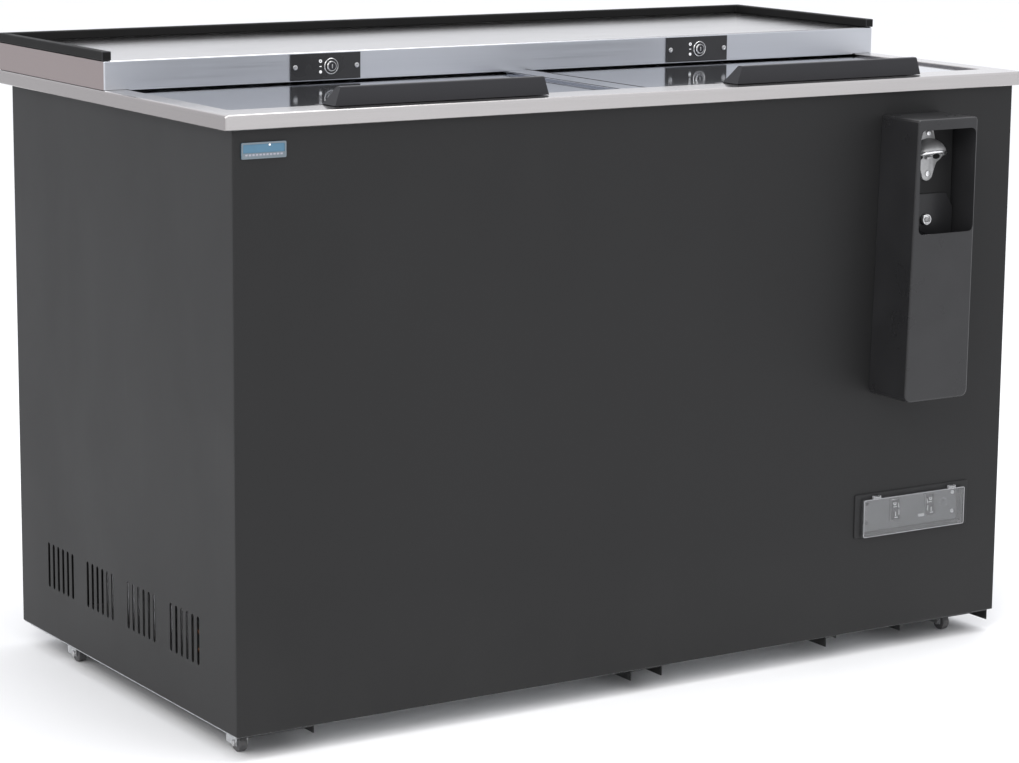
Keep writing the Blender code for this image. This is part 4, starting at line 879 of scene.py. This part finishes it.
# ---- shell details --------------------------------------------------------------------------------
def dress_shell():
    """Rear panel screws, a blank riveted plate, and end caps and plugs on the guard rail."""
    low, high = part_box("rear_panel")
    for row, z in enumerate((low.z + 0.018, (low.z + high.z) / 2, high.z - 0.060)):
        for column in range(REAR_SCREW_COLUMNS):
            pitch = (high.x - low.x - 2 * REAR_SCREW_INSET) / (REAR_SCREW_COLUMNS - 1)
            x = low.x + REAR_SCREW_INSET + column * pitch
            screw("rear_screw_%d_%d" % (row, column), (x, high.y, z), REAR, 0.0040, 0.0014, "cabinet")
    label = plate(round_box(0.110, 0.062, 0.003), 0.0006, 0.0002)
    piece = mesh_piece("rear_blank_plate", label, EXTRA["badge_rim"])
    place(piece, REAR, (low.x + PLATE_RIGHT, high.y, low.z + PLATE_UP), "cabinet")
    for number, (dx, dz) in enumerate(((-0.049, -0.025), (0.049, -0.025), (0.049, 0.025), (-0.049, 0.025))):
        rivet = lathe([(0, 0.0), (0.0026, 0.0), (0.0024, 0.0006), (0.0012, 0.0012), (0, 0.0013)], 18)
        place(mesh_piece("plate_rivet_%d" % number, rivet, LOOKS["cast_steel"]), REAR,
              (low.x + PLATE_RIGHT + dx, high.y + 0.0006, low.z + PLATE_UP + dz), "cabinet")
    low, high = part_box("bumper")
    for side, sign in SIDES:
        x = sign * (high.x - 0.0066)
        cap = block((x - CAP_HALF, low.y + CLEAR, low.z + 0.0002), (x + CAP_HALF, low.y + 0.0030, high.z),
                    0.0008)
        fix(mesh_piece("bumper_cap_" + side, cap, EXTRA["handle_coat"]), "cabinet")
        for number in range(3):
            y = low.y + 0.050 + number * PLUG_PITCH
            plug = lathe([(0, 0.0), (0.0030, 0.0), (0.0028, 0.0004), (0, 0.0005)], 18)
            place(mesh_piece("bumper_plug_%s_%d" % (side, number), plug, EXTRA["guard_rubber"]), RIGHT * sign,
                  (sign * (high.x - 0.0005), y, (low.z + high.z) / 2), "cabinet")


def dress_castors():
    """Hub discs on each wheel, and axle nuts on each fork."""
    for row in ("front", "rear"):
        for side, _ in SIDES:
            name = row + "_" + side
            wheel_low, wheel_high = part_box("castor_wheel_" + name)
            fork_low, fork_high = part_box("castor_fork_" + name)
            centre = (wheel_low + wheel_high) / 2
            for end in (-1, 1):
                hub = lathe([(0, 0.0), (0.0062, 0.0), (0.0060, 0.0005), (0.0035, 0.0006), (0.0030, 0.0009),
                             (0, 0.0009)], 24)
                spot = (centre.x + end * (wheel_high.x - centre.x - 0.0001), centre.y, centre.z)
                place(mesh_piece("wheel_hub_%s_%s" % (name, "ab"[end > 0]), hub, LOOKS["grey_plastic"]),
                      RIGHT * end, spot,
                      "wheel_" + name)
                nut = lathe([(0, 0.0), (0.0044, 0.0), (0.0044, 0.0018), (0.0036, 0.0024), (0, 0.0024)], 6)
                edge = fork_high.x if end > 0 else fork_low.x
                spot = (edge - end * 0.0034, centre.y, centre.z)
                place(mesh_piece("axle_nut_%s_%s" % (name, "ab"[end > 0]), nut, LOOKS["cast_steel"]),
                      RIGHT * end, spot,
                      "castor_" + name)


# ---- machine space and well -----------------------------------------------------------------------
def dress_machine():
    """Compressor feet and relay box, copper pipes, condenser bends and three leads to the fan motor."""
    low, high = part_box("compressor")
    centre = (low + high) / 2
    box_low = (centre.x + 0.070, centre.y - 0.024, low.z + 0.045)
    box_high = (centre.x + 0.098, centre.y + 0.024, low.z + 0.105)
    fix(mesh_piece("relay_box", block(box_low, box_high, 0.003), LOOKS["black_plastic"]), "cabinet")
    for number, (dx, dy) in enumerate(((-0.096, -0.056), (0.096, -0.056), (0.096, 0.056), (-0.096, 0.056))):
        foot = lathe([(0, 0.0), (0.011, 0.0), (0.0115, 0.003), (0.010, 0.006), (0.006, 0.007),
                      (0.006, 0.012), (0, 0.013)], 20)
        place(mesh_piece("compressor_foot_%d" % number, foot, LOOKS["wheel_rubber"]), UP,
              (centre.x + dx, centre.y + dy, low.z + 0.0102), "cabinet")
    coil_low, coil_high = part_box("condenser")
    top = coil_high.z - 0.012
    runs = {
        "discharge": ([(centre.x - 0.060, centre.y, low.z + 0.120),
                       (centre.x - 0.120, centre.y, low.z + 0.150),
                       (coil_high.x + 0.050, coil_high.y + 0.020, top), (coil_high.x - 0.010,
                                                                         coil_high.y + 0.020, top),
                       (coil_high.x - 0.010, coil_high.y - 0.004, top)], 0.0030),
        "suction": ([(centre.x, centre.y + 0.060, low.z + 0.100), (centre.x, centre.y + 0.110, low.z + 0.120),
                     (centre.x + 0.060, centre.y + 0.130, low.z + 0.120), (centre.x + 0.060,
                                                                           centre.y + 0.130, low.z + 0.196)],
                    0.0045),
        "liquid": ([(coil_high.x - 0.010, coil_low.y + 0.004, coil_low.z + 0.014),
                    (coil_high.x - 0.010, coil_low.y - 0.020, coil_low.z + 0.014),
                    (coil_high.x + 0.090, coil_low.y - 0.020, coil_low.z + 0.014),
                    (coil_high.x + 0.200, coil_low.y + 0.040, coil_low.z + 0.030)], 0.0030),
    }
    for name, (points, radius) in runs.items():
        fix(mesh_piece(name + "_pipe", tube(rounded(points, 0.012), radius), EXTRA["copper"], 60.0),
            "cabinet")
    for number in range(CONDENSER_BENDS):
        z = coil_low.z + 0.020 + number * (coil_high.z - coil_low.z - 0.040) / (CONDENSER_BENDS - 1)
        for end, y in (("front", coil_low.y), ("rear", coil_high.y)):
            sign = -1 if end == "front" else 1
            points = []
            for step in range(9):
                angle = math.pi * step / 8
                points.append((coil_low.x + 0.025 + CONDENSER_BEND_RADIUS * math.cos(angle),
                               y + sign * CONDENSER_BEND_RADIUS * math.sin(angle), z))
            fix(mesh_piece("condenser_bend_%s_%d" % (end, number), tube(points, CONDENSER_TUBE_RADIUS, 8),
                           EXTRA["copper"], 60.0),
                "cabinet")
    relay = Vector((centre.x + 0.098, centre.y, low.z + 0.075))
    motor_low, motor_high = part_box("fan_motor")
    for number, look in enumerate(("insulated_red", "insulated_blue", "insulated_green")):
        start = relay + Vector((0.0, -0.012 + 0.012 * number, 0.0))
        points = [start, start + Vector((0.030, 0, 0)),
                  start + Vector((0.045, -0.06 - 0.008 * number, -0.030)),
                  (centre.x - 0.060, motor_low.y - 0.120, low.z + 0.004 + LEAD_PITCH * number),
                  (motor_high.x + 0.030, motor_high.y - 0.03, low.z + 0.020 + LEAD_PITCH * number),
                  (motor_high.x - 0.002, motor_high.y - 0.030 + LEAD_PITCH * number, low.z + 0.060)]
        fix(mesh_piece("lead_%d" % number, tube(rounded(points, 0.010), LEAD_RADIUS, 8), EXTRA[look],
                       60.0), "cabinet")


def dress_fan():
    """Hub cap on the fan, and a round-wire guard over the mouth of the shroud."""
    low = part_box("condenser_fan")[0]
    joints = frame["record"]["behaviour"]["joints"]
    mouth_z = next(joint for joint in joints if joint["name"] == "fan_spin")["pos_m"][2]
    hub = lathe([(0, 0.0), (0.0170, 0.0), (0.0180, 0.0010), (0.0175, 0.0020), (0.006, 0.0030),
                 (0.005, 0.0045), (0, 0.0048)], 28)
    shroud_low, shroud_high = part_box("fan_shroud")
    mouth_y = (shroud_low.y + shroud_high.y) / 2
    piece = mesh_piece("fan_hub_cap", hub, LOOKS["grey_plastic"])
    place(piece, LEFT, (low.x + 0.0002, mouth_y, mouth_z), "fan")
    for ring in range(GUARD_RINGS):
        radius = 0.028 + 0.024 * ring
        points = []
        for step in range(49):
            angle = 2 * math.pi * step / 48
            points.append((shroud_high.x + 0.0035, mouth_y + radius * math.cos(angle),
                           mouth_z + radius * math.sin(angle)))
        fix(mesh_piece("fan_guard_ring_%d" % ring, tube(points, 0.0012, 6), LOOKS["galvanised"], 60.0),
            "cabinet")
    for spoke in range(GUARD_SPOKES):
        angle = math.pi / 4 + math.pi / 2 * spoke
        across = Vector((0, math.cos(angle), math.sin(angle)))
        start = Vector((shroud_high.x + 0.0022, mouth_y, mouth_z)) + across * 0.026
        end = Vector((shroud_high.x + 0.0022, mouth_y, mouth_z)) + across * 0.086
        fix(mesh_piece("fan_guard_spoke_%d" % spoke, tube([start, start.lerp(end, 0.5), end], 0.0013, 6),
                       LOOKS["galvanised"]),
            "cabinet")


def dress_well():
    """Round-wire racks in place of the flat dividers, pipe bends on the coil, and a drain."""
    for side, _ in SIDES:
        low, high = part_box("divider_" + side)
        x = (low.x + high.x) / 2
        bm = bmesh.new()
        lines = []
        for row in range(RACK_ROWS):
            z = low.z + RACK_FRAME_WIRE + row * (high.z - low.z - 2 * RACK_FRAME_WIRE) / (RACK_ROWS - 1)
            ends = low.y + RACK_FRAME_WIRE, high.y - RACK_FRAME_WIRE
            lines.append(([(x, ends[0], z), (x, (low.y + high.y) / 2, z), (x, ends[1], z)], RACK_FRAME_WIRE))
        for column in range(RACK_COLUMNS):
            y = low.y + RACK_FRAME_WIRE + column * (high.y - low.y - 2 * RACK_FRAME_WIRE) / (RACK_COLUMNS - 1)
            radius = RACK_FRAME_WIRE if column in (0, RACK_COLUMNS - 1) else RACK_WIRE
            ends = low.z + RACK_FRAME_WIRE, high.z - RACK_FRAME_WIRE
            lines.append(([(x, y, ends[0]), (x, y, (low.z + high.z) / 2), (x, y, ends[1])], radius))
        for points, radius in lines:
            part = tube(points, radius, 8)
            mesh = bpy.data.meshes.new("wire_part")
            part.to_mesh(mesh)
            part.free()
            bm.from_mesh(mesh)
            bpy.data.meshes.remove(mesh)
        rack = mesh_piece("wire_rack_" + side, bm, LOOKS["wire_coat"], 60.0)
        fix(rack, "cabinet")
        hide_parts("divider_" + side)
    low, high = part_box("evaporator")
    for number in range(COIL_BENDS):
        z = low.z + 0.014 + number * (high.z - low.z - 0.028) / (COIL_BENDS - 1)
        for end, x in (("left", low.x), ("right", high.x)):
            sign = -1 if end == "left" else 1
            points = []
            for step in range(9):
                angle = math.pi * step / 8
                points.append((x + sign * COIL_BEND_RADIUS * math.sin(angle),
                               (low.y + high.y) / 2 + COIL_BEND_RADIUS * math.cos(angle), z))
            fix(mesh_piece("coil_bend_%s_%d" % (end, number), tube(points, COIL_TUBE_RADIUS, 8),
                           EXTRA["copper"], 60.0), "cabinet")
    low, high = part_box("tank_liner")
    drain = lathe([(0.010, 0.0), (0.019, 0.0), (0.0185, 0.0012), (0.0165, 0.0018), (0.0105, 0.0010)], 36)
    place(mesh_piece("drain_collar", drain, LOOKS["white_plastic"]), UP,
          (low.x + 0.110, low.y + 0.080, low.z + 0.0013),
          "cabinet")


def dress_lids():
    """Hem under the shelf's front, thin dark strips along the mullion as painted shade of the gaps beside the
    lids, and screws through each handle's tongue.
    """
    riser_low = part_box("riser")[0]
    hem = block((-HEM_HALF, riser_low.y + 0.0003, riser_low.z - 0.0012),
                (HEM_HALF, riser_low.y + 0.0023, riser_low.z), 0.0003)
    fix(mesh_piece("shelf_hem", hem, EXTRA["shelf_steel"]), "cabinet")
    low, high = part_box("centre_mullion")
    # Thin dark strips laid on the mullion top: painted shade of the gaps beside the lids.
    for name, x, half in (("left", low.x + 0.0010, 0.0006), ("right", high.x - 0.0024, 0.0022)):
        strip = block((x - half, low.y + 0.0010, high.z - 0.0002),
                      (x + half, high.y - 0.0010, high.z + 0.0001), 0.0001)
        fix(mesh_piece("mullion_gasket_" + name, strip, EXTRA["guard_rubber"]), "cabinet")
    for side, _ in SIDES:
        low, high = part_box("lid_handle_" + side)
        for number in range(3):
            x = (low.x + high.x) / 2 + (number - 1) * HANDLE_SCREW_PITCH
            screw("handle_screw_%s_%d" % (side, number), (x, high.y - 0.0132, low.z + 0.0019), UP, 0.0030,
                  0.0013,
                  "lid_" + side, EXTRA["handle_coat"], "black_plastic")


# ---- floor, light, camera -------------------------------------------------------------------------
def area_light(name, location, target, size, power, colour=(1.0, 1.0, 1.0)):
    data = bpy.data.lights.new(name, "AREA")
    data.shape = "RECTANGLE"
    data.size, data.size_y = size
    data.energy = power
    data.color = colour
    lamp = bpy.data.objects.new(name, data)
    bpy.context.scene.collection.objects.link(lamp)
    direction = Vector(target) - Vector(location)
    lamp.location = location
    lamp.rotation_mode = "QUATERNION"
    lamp.rotation_quaternion = direction.to_track_quat("-Z", "Y")


def make_stage():
    """Plain pale floor, even pale sky, and two soft area lights."""
    bm = bmesh.new()
    corners = [(x * FLOOR_HALF, y * FLOOR_HALF, 0) for x, y in ((-1, -1), (1, -1), (1, 1), (-1, 1))]
    bm.faces.new([bm.verts.new(corner) for corner in corners])
    mesh_piece("studio_floor", bm, floor_finish("floor_pale"))
    world = bpy.data.worlds.new("studio")
    bpy.context.scene.world = world
    world.use_nodes = True
    sky = world.node_tree.nodes["Background"]
    sky.inputs["Color"].default_value = (0.95, 0.96, 1.0, 1.0)
    sky.inputs["Strength"].default_value = 1.15
    area_light("key", (-3.6, -3.0, 3.4), (0, 0, 0.4), (2.6, 2.2), 110.0, (1.0, 0.985, 0.96))
    area_light("top", (0.4, -0.6, 3.6), (0, 0, 0.8), (2.6, 1.6), 60.0)


def make_camera():
    """Long lens to the left of the front, a little above the rim, with no shift."""
    yaw, pitch, roll = (math.radians(angle) for angle in (CAMERA_YAW, CAMERA_PITCH, CAMERA_ROLL))
    ahead = Vector((math.sin(yaw) * math.cos(pitch), math.cos(yaw) * math.cos(pitch), -math.sin(pitch)))
    right = Vector((math.cos(yaw), -math.sin(yaw), 0.0))
    up = right.cross(ahead)
    side = right * math.cos(roll) + up * math.sin(roll)
    over = up * math.cos(roll) - right * math.sin(roll)
    turn = Matrix((side, over, -ahead)).transposed().to_4x4()
    data = bpy.data.cameras.new("view")
    data.lens = CAMERA_LENS
    data.clip_end = 200.0
    camera = bpy.data.objects.new("view", data)
    bpy.context.scene.collection.objects.link(camera)
    camera.matrix_world = Matrix.Translation(CAMERA_PLACE) @ turn
    bpy.context.scene.camera = camera
    bpy.context.scene.view_settings.view_transform = "Standard"


make_camera()
make_stage()
dress_nodes()
for lock_side, _ in SIDES:
    dress_lock(lock_side)
dress_badge()
dress_opener()
dress_thumb_screw()
dress_controls()
dress_shell()
dress_castors()
dress_machine()
dress_fan()
dress_well()
dress_lids()
